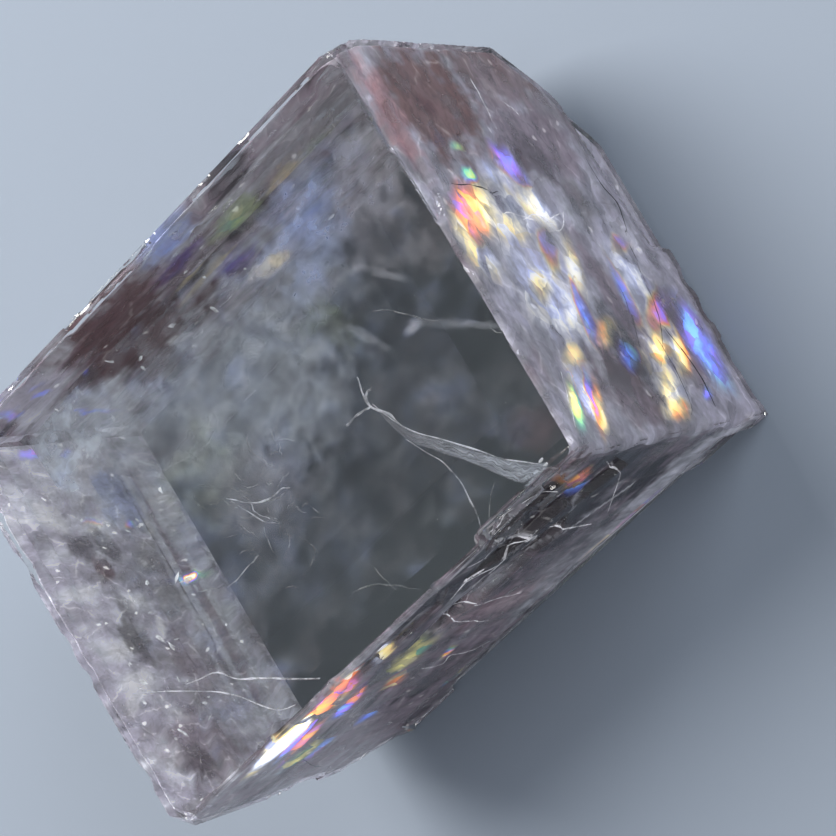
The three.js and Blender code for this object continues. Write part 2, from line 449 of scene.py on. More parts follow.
def play_of_colour(material, fine, chip_values, broken):
    """The film's colour at each place, and how far it covers the layer there."""
    drift = plus(
        material,
        level(material, fine, 0.3, 0.7, -0.05, 0.05),
        level(material, chip_values[0], 0, 1, -0.22 * broken, 0.22 * broken),
    )
    thickness = plus(material, laid_on(material, "film_thickness"), drift)
    ragged = plus(
        material,
        level(material, fine, 0.3, 0.7, 0.6, 1.3),
        level(material, chip_values[1], 0, 1, -broken, broken),
    )
    cover = times(material, laid_on(material, "film_strength"), ragged)
    return ramp(material, thickness, FILM_COLOURS), level(material, cover, 0.08, 0.9)


def flaw_finish(
    name, streak, chip, glow, contrast, cracks=0.0, sparkle=0.0, film_glow=0.0, broken=0.3
):
    """A layer of fine cracks: tint, milkiness and play of colour, broken up by streaks and chips, and a
    painted glow from its emission.

    streak and chip give the lengths in millimetres of the fine streaks and of the small
    flat chips that the layer breaks into. glow is how bright the layer's painted glow is. cracks and
    sparkle are how bright the hair cracks round the larger chips and the painted glints inside them are,
    both painted into the glow, and both are left out where cracks is 0. film_glow is how bright
    the painted glow of the play of colour is, and broken is how much it changes from chip to chip.
    """
    material, nodes, links = new_material(name)
    surface = nodes["Principled BSDF"]
    bent, fine, chips = crazing(material, streak, chip)
    chip_values = node(material, "ShaderNodeSeparateColor", {"Color": chips["Color"]}).outputs
    milkiness = laid_on(material, "flaw_milk")

    shade = plus(
        material,
        level(material, fine, 0.3, 0.7, 1 - contrast, 1 + contrast),
        level(material, chip_values[0], 0, 1, -0.5 * contrast, 0.5 * contrast),
    )
    tint = scaled(material, laid_on(material, "flaw_tint", "Color"), shade)
    open_share = plus(material, fine, level(material, chip_values[1], 0, 1, -0.1, 0.1))
    see = times(material, milkiness, level(material, open_share, 0.3, 0.66, 0.55, 1.15))
    # Painted glow: the layer's emission, its tint times glow, stands in for the light that cannot reach it
    # inside the stone.
    colour, painted_glow = tint, scaled(material, tint, glow)
    if film_glow:
        hue, cover = play_of_colour(material, fine, chip_values, broken)
        mixed = node(material, "ShaderNodeMix", {0: cover, 6: tint, 7: hue}, data_type="RGBA")
        colour = mixed.outputs[2]
        see = node(material, "ShaderNodeMath", {0: see, 1: cover}, operation="MAXIMUM").outputs[0]
        # Painted highlight: the film's emission grows with its strength, in place of the light it would
        # reflect.
        light = times(material, cover, laid_on(material, "film_strength"))
        light = scaled(material, hue, times(material, light, film_glow))
        painted_glow = vector(material, "ADD", {0: painted_glow, 1: light})
    # The white hair cracks and the painted glints add to the painted glow as well as to how solid the layer
    # is.
    if cracks:
        rims = flat_cells(material, bent, [2.6 * length for length in chip], feature="DISTANCE_TO_EDGE")
        bright = hair_cracks(material, rims, fine, chips, chip_values, cracks, sparkle)
        bright = times(material, bright, milkiness)
        see = plus(material, see, bright)
        painted_glow = vector(material, "ADD", {0: painted_glow, 1: bright})
    links.new(colour, surface.inputs["Base Color"])
    links.new(see, surface.inputs["Alpha"])
    links.new(painted_glow, surface.inputs["Emission Color"])
    surface.inputs["Emission Strength"].default_value = 1
    surface.inputs["Roughness"].default_value = 0.5
    surface.inputs["Specular IOR Level"].default_value = 0.2
    return material


def white_crack(name, colour, alpha, emission):
    """A white hair crack or speck whose emission is a painted glow in place of the light it catches."""
    material, nodes, links = new_material(name)
    surface = nodes["Principled BSDF"]
    patches = grain(material, 0.3, (0.0009, 0.0009, 0.0009), 3.0, 0.6)
    stops = [(0, tuple(0.55 * part for part in colour)), (1, colour)]
    tint = ramp(material, level(material, patches, 0.35, 0.65), stops)
    links.new(tint, surface.inputs["Base Color"])
    links.new(tint, surface.inputs["Emission Color"])
    links.new(level(material, patches, 0.38, 0.58, alpha * 0.35, alpha), surface.inputs["Alpha"])
    # Painted glow: the emission makes the crack shine whatever lamps there are.
    surface.inputs["Emission Strength"].default_value = emission
    surface.inputs["Roughness"].default_value = 0.4
    surface.inputs["Specular IOR Level"].default_value = 0.3
    return material


# ---------------------------------------------------------------- layers of flaws

SHEET_THICKNESS = 0.02 * MM
EDGE_LENGTHS = (LONG_EDGE, BACK_EDGE, DOWN_EDGE)

# A place well inside the block, left, back and down, from which its faces are felt.
MIDDLE = (18.0, 13.6, 9.5)

# How far round a point the stone's surface is felt for notches, how far a layer wraps
# round the ends of its face, and how far below the top it starts, in millimetres.
NEARBY = 0.15
WRAP = 0.5
TOP_GAP = 0.05

# Which edge leads out through each face and which way, and the two that run along it.
FACES = {
    "left": (0, 1, (1, 2)),
    "right": (0, -1, (1, 2)),
    "back": (1, 1, (0, 2)),
    "front": (1, -1, (0, 2)),
}

TINTS = {
    "white": (0.95, 0.95, 1.0),
    "milk": (0.80, 0.81, 0.90),
    "lilac": (0.57, 0.55, 0.66),
    "sky": (0.42, 0.52, 0.86),
    "violet": (0.22, 0.14, 0.46),
    "sage": (0.40, 0.47, 0.30),
    "cream": (0.78, 0.68, 0.46),
    "pink": (0.62, 0.38, 0.42),
    "mauve": (0.35, 0.28, 0.34),
    "ash": (0.42, 0.41, 0.46),
    "haze": (0.51, 0.56, 0.64),
    "brick": (0.24, 0.12, 0.11),
    "rust": (0.13, 0.05, 0.06),
    # Near black: painted shade, in place of the dark surroundings that the faces show by reflection and
    # refraction.
    "painted_shade": (0.05, 0.04, 0.05),
}


def smooth_step(value):
    value = min(1, max(0, value))
    return value * value * (3 - 2 * value)


def swell(place, lengths, seed):
    """Broad noise from 0 to 1, drawn out by so many millimetres each way."""
    sample = Vector((place.x / lengths[0], place.y / lengths[1], seed * 3.7))
    return 0.5 + 0.55 * noise.fractal(sample, 0.9, 2.1, 3)


def between_tints(stops, share):
    """The colour at a share of the way through (share, tint) stops."""
    for (low, first), (high, second) in zip(stops, stops[1:]):
        if share <= high:
            part = min(1, max(0, (share - low) / (high - low)))
            return Vector(TINTS[first]).lerp(Vector(TINTS[second]), part)
    return Vector(TINTS[stops[-1][1]])


def blob_of(corners):
    """A film patch as its middle and its two half axes."""
    first, second, third, fourth = (Vector(corner) for corner in corners)
    middle = (first + second + third + fourth) / 4
    return middle, (first + second - third - fourth) / 4, (second + third - first - fourth) / 4


def film_at(place, patches):
    """The film's thickness and strength at a place, blended from the patches around it."""
    total, thickness = 1e-9, 0.0
    for (middle, along, across), (start, end), strength, way in patches:
        offset = place - middle
        size = along.x * across.y - along.y * across.x
        lengthwise = (offset.x * across.y - offset.y * across.x) / size
        crosswise = (along.x * offset.y - along.y * offset.x) / size
        distance = lengthwise * lengthwise + crosswise * crosswise
        if distance > 6:
            continue
        weight = 0.9 * strength * math.exp(-1.15 * distance * distance**0.3)
        share = (1 + crosswise) / 2 if way == "across" else (1 - lengthwise) / 2
        thickness += weight**4 * (start + (end - start) * min(1, max(0, share)))
        total += weight**4
    return thickness / total, total**0.25


def painter(ground, patches, films, seed):
    """What a layer looks like at a place: its tint, milkiness, film thickness and film strength."""
    stops, lengths, milk_range = ground
    blobs = [(blob_of(quad), film, strength, way) for quad, film, strength, way in films.values()]

    def paint(place):
        share = swell(place, lengths, seed)
        tint = between_tints(stops, share)
        milk = milk_range[0] + (milk_range[1] - milk_range[0]) * swell(place, lengths, seed + 0.6)
        ragged = 0.45 * noise.noise(Vector((place.x * 0.9, place.y * 0.9, seed + 5.5)))
        ragged += 0.3 * noise.noise(Vector((place.x * 2.3, place.y * 2.3, seed + 8.5)))
        for middle_x, middle_y, half_x, half_y, turn, name, patch_milk, weight in patches.values():
            angle = math.radians(turn)
            offset_x, offset_y = place.x - middle_x, place.y - middle_y
            lengthwise = (offset_x * math.cos(angle) + offset_y * math.sin(angle)) / half_x
            crosswise = (offset_y * math.cos(angle) - offset_x * math.sin(angle)) / half_y
            distance = math.hypot(lengthwise, crosswise)
            if distance > 2:
                continue
            part = weight * smooth_step((1.35 - distance + ragged) / 0.7)
            tint = tint.lerp(Vector(TINTS[name]), part)
            milk += (patch_milk - milk) * part
        shake = Vector((0.35 * place.x, 1.1 * place.y, seed))
        spread = place + Vector((0.45 * noise.noise(shake), 0.3 * noise.noise(shake + Vector((9, 9, 9)))))
        film, strength = film_at(spread, blobs) if blobs else (0.1, 0.0)
        return tint, min(1, max(0, milk)), film, strength

    return paint


LAID_VALUES = {
    "sheet_place": "FLOAT_VECTOR",
    "flaw_tint": "FLOAT_COLOR",
    "flaw_milk": "FLOAT",
    "film_thickness": "FLOAT",
    "film_strength": "FLOAT",
}


def lay_sheet(name, span, spacing, put, paint, finish):
    """A thin closed layer: put gives each point its place, paint its look."""
    (low_x, high_x), (low_y, high_y) = span
    across, along = round((high_x - low_x) / spacing), round((high_y - low_y) / spacing)
    bpy.ops.object.select_all(action="DESELECT")
    bpy.ops.mesh.primitive_grid_add(x_subdivisions=across, y_subdivisions=along, size=2)
    sheet = bpy.context.object
    mesh = sheet.data
    for kind, value in LAID_VALUES.items():
        mesh.attributes.new(kind, value, "POINT")
    places, tints, milks, thickness, strengths = (mesh.attributes[kind] for kind in LAID_VALUES)
    for index, vertex in enumerate(mesh.vertices):
        place_x = low_x + (high_x - low_x) * (vertex.co.x + 1) / 2
        place_y = low_y + (high_y - low_y) * (vertex.co.y + 1) / 2
        place = Vector((place_x, place_y))
        vertex.co = put(place)
        tint, milk, film, strength = paint(place)
        places.data[index].vector = (place.x, place.y, 0)
        tints.data[index].color = (*tint, 1)
        milks.data[index].value = milk
        thickness.data[index].value = film
        strengths.data[index].value = strength
    apply_modifier(sheet, "SMOOTH", factor=0.4, iterations=2)
    apply_modifier(sheet, "SOLIDIFY", thickness=SHEET_THICKNESS, offset=0)
    finish_piece(join_pieces([sheet], name), finish)


def stone_surface():
    """The finished block's surface, for finding how deep a place lies."""
    mesh = bpy.data.objects["calcite_block"].data
    return BVHTree.FromPolygons([v.co for v in mesh.vertices], [p.vertices for p in mesh.polygons])


def just_under(stone, face, depth):
    """Puts a point of a face so many millimetres under the stone's own uneven surface."""
    out, sign, (first, second) = FACES[face]
    middle, normal = spot(*MIDDLE), FACE_NORMALS[face]
    nearby = [(0, 0), (NEARBY, 0), (-NEARBY, 0), (0, NEARBY), (0, -NEARBY)]

    def reach(place):
        target = [0, 0, 0]
        target[out] = EDGE_LENGTHS[out] if sign > 0 else 0
        target[first], target[second] = place
        way = spot(*target) - middle
        return way, stone.ray_cast(middle, way.normalized())[3] / way.length

    def put(place):
        way, _ = reach(place)
        share = min(reach(place + Vector(step))[1] for step in nearby)
        return middle + way * (share - depth * MM / way.dot(normal))

    return put


# ---------------------------------------------------------------- threads

# A straight thread of one unit's length and radius, which every crack line is drawn from.
THREAD_RINGS = 24
THREAD_SIDES = 5
THREAD_SWELL = 1.15


def thread_blank():
    """The straight thread itself, cut into rings along its length."""
    bpy.ops.object.select_all(action="DESELECT")
    bpy.ops.mesh.primitive_cylinder_add(vertices=THREAD_SIDES, radius=1, depth=1)
    blank = bpy.context.object
    bpy.ops.object.mode_set(mode="EDIT")
    for ring in range(1, THREAD_RINGS):
        bpy.ops.mesh.select_all(action="SELECT")
        bpy.ops.mesh.bisect(plane_co=(0, 0, ring / THREAD_RINGS - 0.5), plane_no=(0, 0, 1))
    bpy.ops.object.mode_set(mode="OBJECT")
    return blank


def along_path(points, share):
    """A place on the smooth curve through the points, at a share of its length."""
    last = len(points) - 1
    reach = min(last - 1e-6, max(0, share * last))
    start = int(reach)
    part = reach - start
    before = points[max(0, start - 1)]
    first, second = points[start], points[start + 1]
    after = points[min(last, start + 2)]
    return 0.5 * (
        2 * first
        + (second - before) * part
        + (2 * before - 5 * first + 4 * second - after) * part**2
        + (3 * first - before - 3 * second + after) * part**3
    )


def bent_thread(blank, points, radius, flatness, seed):
    """A copy of the blank drawn along a path, thin at both ends and uneven between."""
    thread = bpy.data.objects.new("thread", blank.data.copy())
    bpy.context.scene.collection.objects.link(thread)
    for vertex in thread.data.vertices:
        share = vertex.co.z + 0.5
        middle = along_path(points, share)
        ahead = (along_path(points, share + 0.01) - along_path(points, share - 0.01)).normalized()
        side = ahead.cross(Vector((0.2, 0.1, 1))).normalized()
        rise = ahead.cross(side)
        taper = math.sin(math.pi * min(1, max(0, 0.04 + 0.92 * share))) ** 0.5
        uneven = 0.75 + 0.6 * noise.noise(Vector((share * 9, seed, 0.5)))
        jog = side * noise.noise(Vector((share * 7, seed, 3.5))) * 0.09 * MM
        size = radius * THREAD_SWELL * MM * taper * uneven
        vertex.co = middle + jog + side * vertex.co.x * size + rise * vertex.co.y * size * flatness
    return thread


# ---------------------------------------------------------------- flaws under the faces

# Films near the right face: corners as (back, down), film thickness at both sides, strength,
# and which way the thickness runs. Strength sets how far the film covers and also how bright its painted
# glow is.
RIGHT_FILMS = {
    "orange": ([(17.7, 1.9), (17.5, 5.9), (14.1, 4.1), (14.0, 1.1)], (0.62, 0.25), 1.6, "across"),
    "green_dot": ([(18.8, 4.3), (18.4, 5.8), (17.5, 4.9), (17.9, 3.9)], (0.86, 0.93), 1.02, "across"),
    "violet_top": ([(20.2, 7.6), (20.0, 9.5), (17.0, 10.1), (17.2, 8.3)], (0.56, 0.72), 1.28, "across"),
    "mauve_pink": ([(19.2, 5.9), (19.2, 8.0), (17.0, 8.3), (17.1, 6.1)], (0.12, 0.06), 0.64, "across"),
    "white_veil": ([(17.3, 7.4), (17.0, 10.2), (14.2, 11.0), (13.9, 8.3)], (0.25, 0.11), 0.95, "across"),
    "peach_mid": ([(16.2, 5.5), (15.9, 8.4), (13.0, 6.9), (13.6, 4.2)], (0.32, 0.22), 0.7, "across"),
    "edge_cream": ([(15.9, 0.6), (16.5, 2.1), (11.8, 2.0), (11.3, 0.5)], (0.28, 0.18), 0.9, "across"),
    "low_pastel": ([(14.2, 1.9), (14.1, 3.8), (11.1, 2.6), (11.0, 0.8)], (0.08, 0.24), 0.58, "along"),
    "rib_cream": ([(13.6, 9.1), (13.9, 10.8), (9.4, 9.2), (9.2, 7.8)], (0.20, 0.28), 0.7, "across"),
    "rib_blue": ([(14.2, 7.4), (14.3, 9.4), (10.6, 7.8), (10.5, 6.1)], (0.70, 0.78), 0.45, "across"),
    "cream_streak": ([(10.7, 6.1), (10.9, 7.7), (6.6, 7.0), (6.4, 4.9)], (0.31, 0.18), 0.72, "across"),
    "blue_beside": ([(10.8, 7.6), (10.5, 9.1), (6.5, 7.5), (6.3, 6.6)], (0.78, 0.72), 0.77, "across"),
    "peach_patch": ([(8.0, 8.0), (8.1, 10.6), (6.0, 8.8), (6.2, 6.6)], (0.42, 0.30), 0.7, "across"),
    "low_dots": ([(7.0, 3.9), (6.9, 6.1), (5.0, 5.1), (5.2, 2.8)], (0.32, 0.24), 0.7, "along"),
    "green_stripe": ([(4.6, 2.5), (4.7, 3.7), (1.4, 2.1), (1.1, 0.8)], (1.00, 0.92), 1.28, "along"),
    "white_stripe": ([(4.9, 3.7), (4.6, 4.5), (1.4, 3.5), (1.2, 2.2)], (0.14, 0.08), 1.05, "across"),
    "violet_stripe": ([(4.6, 4.2), (4.4, 4.8), (1.2, 3.6), (1.1, 3.0)], (0.76, 0.66), 1.28, "along"),
    "yellow_stripe": ([(4.2, 4.5), (4.0, 5.3), (0.6, 3.6), (0.5, 2.5)], (0.44, 0.28), 1.28, "across"),
    "cyan_low": ([(6.4, 8.7), (6.2, 10.3), (4.3, 10.3), (4.2, 8.4)], (0.74, 0.90), 0.77, "across"),
    "blue_upper": ([(13.6, 14.3), (13.0, 16.4), (11.4, 15.2), (11.8, 13.4)], (0.72, 0.78), 0.45, "across"),
    "blue_edge": ([(12.2, 12.3), (11.8, 13.4), (6.9, 12.8), (6.7, 11.4)], (0.76, 0.70), 0.58, "across"),
    "blue_wide": ([(8.9, 13.7), (9.8, 16.7), (6.6, 15.7), (6.0, 12.0)], (0.68, 0.76), 0.7, "across"),
    "yellow_patch": ([(6.6, 12.1), (6.3, 14.3), (4.0, 12.7), (4.7, 11.0)], (0.27, 0.36), 1.28, "along"),
    "orange_slip": ([(6.7, 14.6), (6.7, 16.2), (3.4, 14.0), (3.6, 12.9)], (0.15, 0.46), 1.15, "across"),
    "cream_down": ([(4.7, 11.0), (4.0, 13.1), (1.2, 11.7), (0.9, 9.6)], (0.32, 0.16), 0.9, "across"),
    "orange_low": ([(2.8, 10.4), (1.9, 12.2), (0.7, 11.8), (0.7, 8.8)], (0.24, 0.46), 1.15, "across"),
    "blue_spot": ([(2.5, 14.2), (2.4, 15.4), (1.5, 15.0), (1.5, 14.0)], (0.72, 0.76), 1.15, "across"),
    "big_blue": ([(8.2, 15.6), (8.4, 18.2), (2.4, 18.0), (2.0, 15.4)], (0.70, 0.79), 1.21, "along"),
    # Broad pale colour between the bright patches.
    "pale_upper": ([(18.0, 3.0), (18.0, 8.5), (13.0, 8.5), (13.0, 2.5)], (0.26, 0.12), 0.69, "across"),
    "pale_middle": ([(14.5, 2.4), (14.5, 9.5), (6.0, 8.0), (6.0, 2.0)], (0.14, 0.07), 0.6, "across"),
    "pale_outer": ([(14.0, 12.8), (14.0, 16.0), (5.0, 16.0), (5.0, 12.2)], (0.13, 0.08), 0.58, "across"),
    "pale_low": ([(8.0, 11.0), (8.0, 14.0), (0.6, 13.0), (0.6, 9.5)], (0.22, 0.10), 0.58, "across"),
    "green_fleck": ([(20.6, 4.6), (20.4, 6.2), (19.7, 5.8), (19.8, 4.4)], (0.95, 1.00), 0.64, "across"),
    "blue_haze": ([(12.0, 4.5), (12.0, 7.0), (9.0, 6.0), (9.0, 3.5)], (0.74, 0.80), 0.54, "across"),
    "yellow_tick": ([(11.2, 8.2), (11.2, 8.8), (9.8, 8.3), (9.8, 7.8)], (0.30, 0.98), 0.77, "along"),
}

# Films near the front face: corners as (left, down). The brightest are painted highlights, their strength
# driving a strong painted glow.
FRONT_FILMS = {
    "white_highlight": ([(30.6, 0.6), (25.2, 0.6), (25.0, 2.0), (30.1, 2.8)], (0.20, 0.14), 5.0, "across"),
    "white_highlight_heart": ([(29.6, 0.9), (26.0, 0.8), (26.0, 1.8), (29.4, 2.3)], (0.16, 0.14), 8.0, "across"),
    "coral_side": ([(25.6, 0.5), (22.6, 0.5), (23.2, 2.6), (26.0, 3.0)], (0.42, 0.52), 2.6, "across"),
    "gold": ([(23.6, 0.5), (20.2, 0.5), (20.2, 1.7), (23.4, 2.6)], (0.27, 0.37), 1.5, "across"),
    "gold_below": ([(24.6, 2.6), (22.0, 2.0), (21.6, 3.0), (24.4, 3.8)], (0.26, 0.40), 1.1, "across"),
    "violet_line": ([(30.2, 3.0), (25.6, 2.4), (25.4, 2.9), (30.2, 3.6)], (0.70, 0.78), 2.4, "across"),
    "pink_below": ([(31.2, 3.7), (26.4, 3.1), (26.2, 4.2), (31.2, 5.0)], (0.48, 0.58), 1.5, "across"),
    "coral": ([(25.7, 4.5), (23.0, 3.4), (22.6, 4.4), (25.3, 6.0)], (0.42, 0.52), 1.2, "across"),
    "blue_chip": ([(26.6, 4.3), (24.5, 4.0), (24.7, 5.3), (26.4, 5.7)], (0.77, 0.82), 1.5, "across"),
    "violet_low": ([(28.3, 8.0), (26.4, 8.5), (26.4, 9.8), (28.4, 10.0)], (0.66, 0.74), 0.7, "across"),
    "pastel_low": ([(32.4, 4.6), (29.0, 4.9), (28.8, 6.6), (32.4, 6.8)], (0.92, 0.99), 0.8, "across"),
    "lilac_low": ([(32.4, 6.4), (29.0, 6.6), (28.8, 7.8), (32.2, 8.2)], (0.60, 0.72), 0.6, "across"),
    "gold_up": ([(20.6, 2.1), (18.6, 1.9), (18.4, 2.8), (20.6, 3.4)], (0.30, 0.38), 1.0, "across"),
    "dot_white": ([(19.4, 1.6), (18.2, 1.6), (18.2, 2.2), (19.4, 2.3)], (0.22, 0.16), 1.2, "across"),
    "pastel_up": ([(22.8, 4.6), (18.6, 4.4), (18.4, 7.4), (22.8, 8.2)], (0.98, 0.92), 0.55, "across"),
    "peach_up": ([(24.6, 6.8), (21.8, 6.4), (22.1, 8.4), (24.8, 9.2)], (0.36, 0.22), 0.6, "across"),
    "gold_dot": ([(22.2, 10.4), (20.6, 10.1), (20.6, 11.0), (22.6, 11.5)], (0.28, 0.98), 0.7, "across"),
    "green_edge": ([(27.2, 15.0), (24.6, 15.0), (24.8, 16.2), (27.2, 16.6)], (0.94, 0.98), 0.4, "across"),
    "orange_corner": ([(3.4, 2.2), (1.7, 2.2), (1.6, 4.0), (3.3, 4.4)], (0.44, 0.28), 1.0, "across"),
    "lilac_corner": ([(5.0, 4.2), (3.0, 4.4), (3.0, 6.0), (5.2, 6.4)], (0.62, 0.70), 0.6, "across"),
    "band_blue": ([(16.0, 15.2), (5.0, 15.2), (5.0, 17.4), (16.0, 17.2)], (0.08, 0.78), 0.35, "across"),
}

# Films on the back face: corners as (left, down), each with a painted glow set by its strength.
BACK_FILMS = {
    "violet_dash": ([(33.1, 8.0), (33.5, 8.0), (33.8, 15.4), (33.3, 15.4)], (0.70, 0.74), 0.9, "across"),
    "blue_dot": ([(29.1, 6.5), (29.7, 6.5), (29.7, 7.4), (29.1, 7.4)], (0.74, 0.76), 1.3, "across"),
    "violet_foot": ([(30.6, 2.0), (31.4, 2.0), (31.4, 4.0), (30.6, 4.0)], (0.68, 0.74), 0.7, "across"),
    "violet_corner": ([(32.6, 0.5), (33.6, 0.5), (33.6, 3.4), (32.6, 3.4)], (0.66, 0.76), 0.6, "across"),
    "lilac_above": ([(13.0, 14.0), (16.0, 14.0), (16.0, 17.0), (13.0, 17.0)], (0.72, 0.66), 0.36, "across"),
    "green_haze": ([(12.6, 5.0), (16.4, 5.0), (16.4, 8.0), (12.6, 8.0)], (0.98, 0.90), 0.3, "across"),
    "orange_haze": ([(8.6, 6.2), (12.0, 6.2), (12.0, 7.8), (8.6, 7.8)], (0.34, 0.40), 0.28, "across"),
    "blue_haze": ([(15.2, 0.6), (18.4, 0.6), (18.4, 3.0), (15.2, 3.0)], (0.78, 0.74), 0.32, "across"),
    "violet_haze": ([(17.4, 10.2), (20.4, 10.2), (20.4, 13.2), (17.4, 13.2)], (0.68, 0.74), 0.34, "across"),
}

# Patches: middle (two places in mm), half lengths, turn in degrees, tint, milkiness, weight.
# On the left and right faces the places are (back, down), on the back and front (left, down).
# Where a ground or patch runs to the near-black tint, the dark is painted shade.
RIGHT_GROUND = ([(0.05, "mauve"), (0.35, "ash"), (0.6, "lilac"), (1.0, "milk")], (5.0, 2.0), (0.6, 0.85))
RIGHT_PATCHES = {
    "brown_head": (23.0, 5.0, 3.6, 4.0, 0, "brick", 0.88, 0.88),
    "pink_edge": (22.8, 1.3, 4.2, 0.9, 0, "pink", 0.8, 0.7),
    "swirl": (22.9, 4.7, 0.8, 0.7, 0, "rust", 0.8, 0.6),
    "mauve_head": (25.0, 12.5, 2.6, 4.2, 0, "brick", 0.75, 0.6),
    "mauve_neck": (20.0, 12.5, 2.8, 3.6, 0, "mauve", 0.8, 0.8),
    "clear_gap": (6.2, 9.6, 3.2, 1.6, -14, "painted_shade", 0.6, 0.6),
    "clear_gap_low": (3.6, 7.4, 3.0, 2.2, -14, "rust", 0.6, 0.6),
    "clear_neck": (18.6, 11.5, 1.4, 1.4, 0, "painted_shade", 0.5, 0.45),
    "rim_band": (12.5, 17.6, 6.5, 1.0, -6, "lilac", 0.65, 0.75),
    "rim_band_low": (3.0, 17.0, 3.0, 1.6, 0, "lilac", 0.7, 0.7),
    "tip": (1.2, 15.6, 1.8, 3.4, 0, "lilac", 0.75, 0.9),
    "mauve_between": (8.5, 11.4, 5.0, 1.0, -6, "mauve", 0.8, 0.75),
    "long_rib": (12.5, 9.2, 5.0, 0.45, 8, "milk", 0.9, 0.5),
    "long_rib_low": (6.4, 6.6, 3.4, 0.4, 10, "milk", 0.9, 0.5),
    "white_edge": (8.0, 0.8, 8.0, 0.3, 0, "lilac", 0.9, 0.5),
}
LEFT_GROUND = ([(0.12, "ash"), (0.42, "lilac"), (0.72, "milk"), (1.0, "white")], (1.7, 3.2), (0.6, 0.92))
LEFT_PATCHES = {
    "milky_corner": (25.2, 9.0, 3.2, 5.0, 0, "milk", 0.95, 0.75),
    "bright_facets": (22.6, 14.0, 2.2, 2.4, 0, "sky", 0.9, 0.45),
    "dark_low": (12.4, 6.4, 1.5, 1.3, 20, "painted_shade", 0.8, 0.7),
    "dark_upper": (19.3, 6.2, 0.9, 1.2, 0, "painted_shade", 0.75, 0.6),
    "dark_middle": (19.3, 9.2, 1.3, 0.9, 0, "painted_shade", 0.75, 0.6),
    "dark_hollow": (17.6, 7.6, 0.9, 0.8, 0, "rust", 0.8, 0.7),
    "dark_beside": (15.2, 7.4, 1.3, 0.7, 0, "painted_shade", 0.75, 0.5),
    "brown_right": (10.8, 12.0, 2.6, 3.0, 0, "mauve", 0.8, 0.5),
    "brown_foot": (4.6, 7.0, 2.6, 4.2, 0, "mauve", 0.8, 0.6),
    "dark_foot": (3.7, 5.6, 1.2, 2.2, 0, "painted_shade", 0.8, 0.55),
    "ribbon": (14.5, 17.7, 10.0, 0.42, 0, "milk", 0.95, 0.85),
    "dark_ribbon": (15.5, 16.8, 9.0, 0.36, 1, "mauve", 0.8, 0.75),
    "second_ribbon": (15.5, 15.9, 9.5, 0.4, 1, "milk", 0.9, 0.8),
    "second_dark_ribbon": (17.0, 15.1, 7.0, 0.3, 1, "painted_shade", 0.8, 0.55),
    "third_ribbon": (12.0, 14.3, 6.0, 0.34, 3, "milk", 0.9, 0.7),
    "fourth_ribbon": (8.0, 12.6, 4.0, 0.3, 4, "lilac", 0.9, 0.6),
    "white_patch": (21.8, 5.0, 0.9, 1.4, 20, "white", 1.0, 0.7),
    "white_patch_low": (9.6, 4.2, 0.8, 1.5, -20, "white", 1.0, 0.6),
    "arrow": (13.1, 10.0, 0.8, 0.4, 35, "white", 1.0, 0.8),
    "low_flake": (8.3, 2.4, 0.7, 0.45, 60, "white", 1.0, 0.7),
    "outer_edge": (13.0, 0.6, 12.0, 0.4, 0, "lilac", 0.9, 0.6),
}
BACK_GROUND = ([(0.2, "painted_shade"), (0.42, "mauve"), (0.62, "ash"), (0.95, "milk")], (5.5, 1.9), (0.55, 0.9))
BACK_PATCHES = {
    "grey_head": (6.5, 5.2, 5.0, 2.4, 4, "ash", 0.8, 0.75),
    "pale_streak": (8.0, 8.6, 4.2, 0.6, 4, "lilac", 0.85, 0.6),
    "painted_shade_slot": (10.9, 1.9, 2.2, 0.4, 4, "painted_shade", 0.97, 0.95),
    "dark_upper": (9.6, 11.5, 2.4, 1.2, 5, "painted_shade", 0.9, 0.75),
    "cream": (10.2, 6.9, 1.7, 0.8, 5, "cream", 0.8, 0.55),
    "green": (14.4, 6.6, 2.2, 1.9, 0, "sage", 0.8, 0.7),
    "green_head": (7.2, 7.4, 1.4, 0.8, 5, "sage", 0.8, 0.45),
    "blue": (16.6, 1.4, 2.2, 1.6, 0, "sky", 0.8, 0.65),
    "violet": (18.9, 4.6, 2.3, 1.3, 5, "violet", 0.85, 0.7),
    "violet_low": (19.2, 11.8, 1.8, 1.5, 0, "violet", 0.85, 0.7),
    "dark_streak": (20.7, 8.8, 1.9, 0.6, 5, "painted_shade", 0.95, 0.85),
    "light_line": (18.6, 8.2, 3.4, 0.2, 6, "cream", 0.9, 0.7),
    "light_line_low": (20.3, 9.8, 3.0, 0.18, 6, "cream", 0.9, 0.6),
    "rust_streak": (21.4, 11.4, 1.7, 0.9, 0, "rust", 0.9, 0.8),
    "great_rust": (24.0, 3.4, 4.4, 3.4, 0, "rust", 0.92, 0.9),
    "great_rust_low": (26.2, 9.4, 3.4, 4.4, 0, "rust", 0.92, 0.9),
    "lilac_foot": (31.6, 2.6, 2.6, 3.2, 0, "lilac", 0.9, 0.8),
    "lilac_join": (33.8, 11.0, 2.2, 7.0, 0, "milk", 0.9, 0.65),
    "lilac_above": (14.0, 15.6, 2.4, 1.8, 0, "sky", 0.7, 0.7),
    "pale_low": (22.5, 16.6, 4.0, 1.4, 5, "lilac", 0.7, 0.6),
    "milk_flake": (26.2, 13.6, 0.6, 1.0, 10, "white", 1.0, 0.8),
}
FRONT_GROUND = ([(0.25, "painted_shade"), (0.5, "mauve"), (0.72, "ash"), (0.95, "milk")], (4.5, 1.5), (0.5, 0.9))
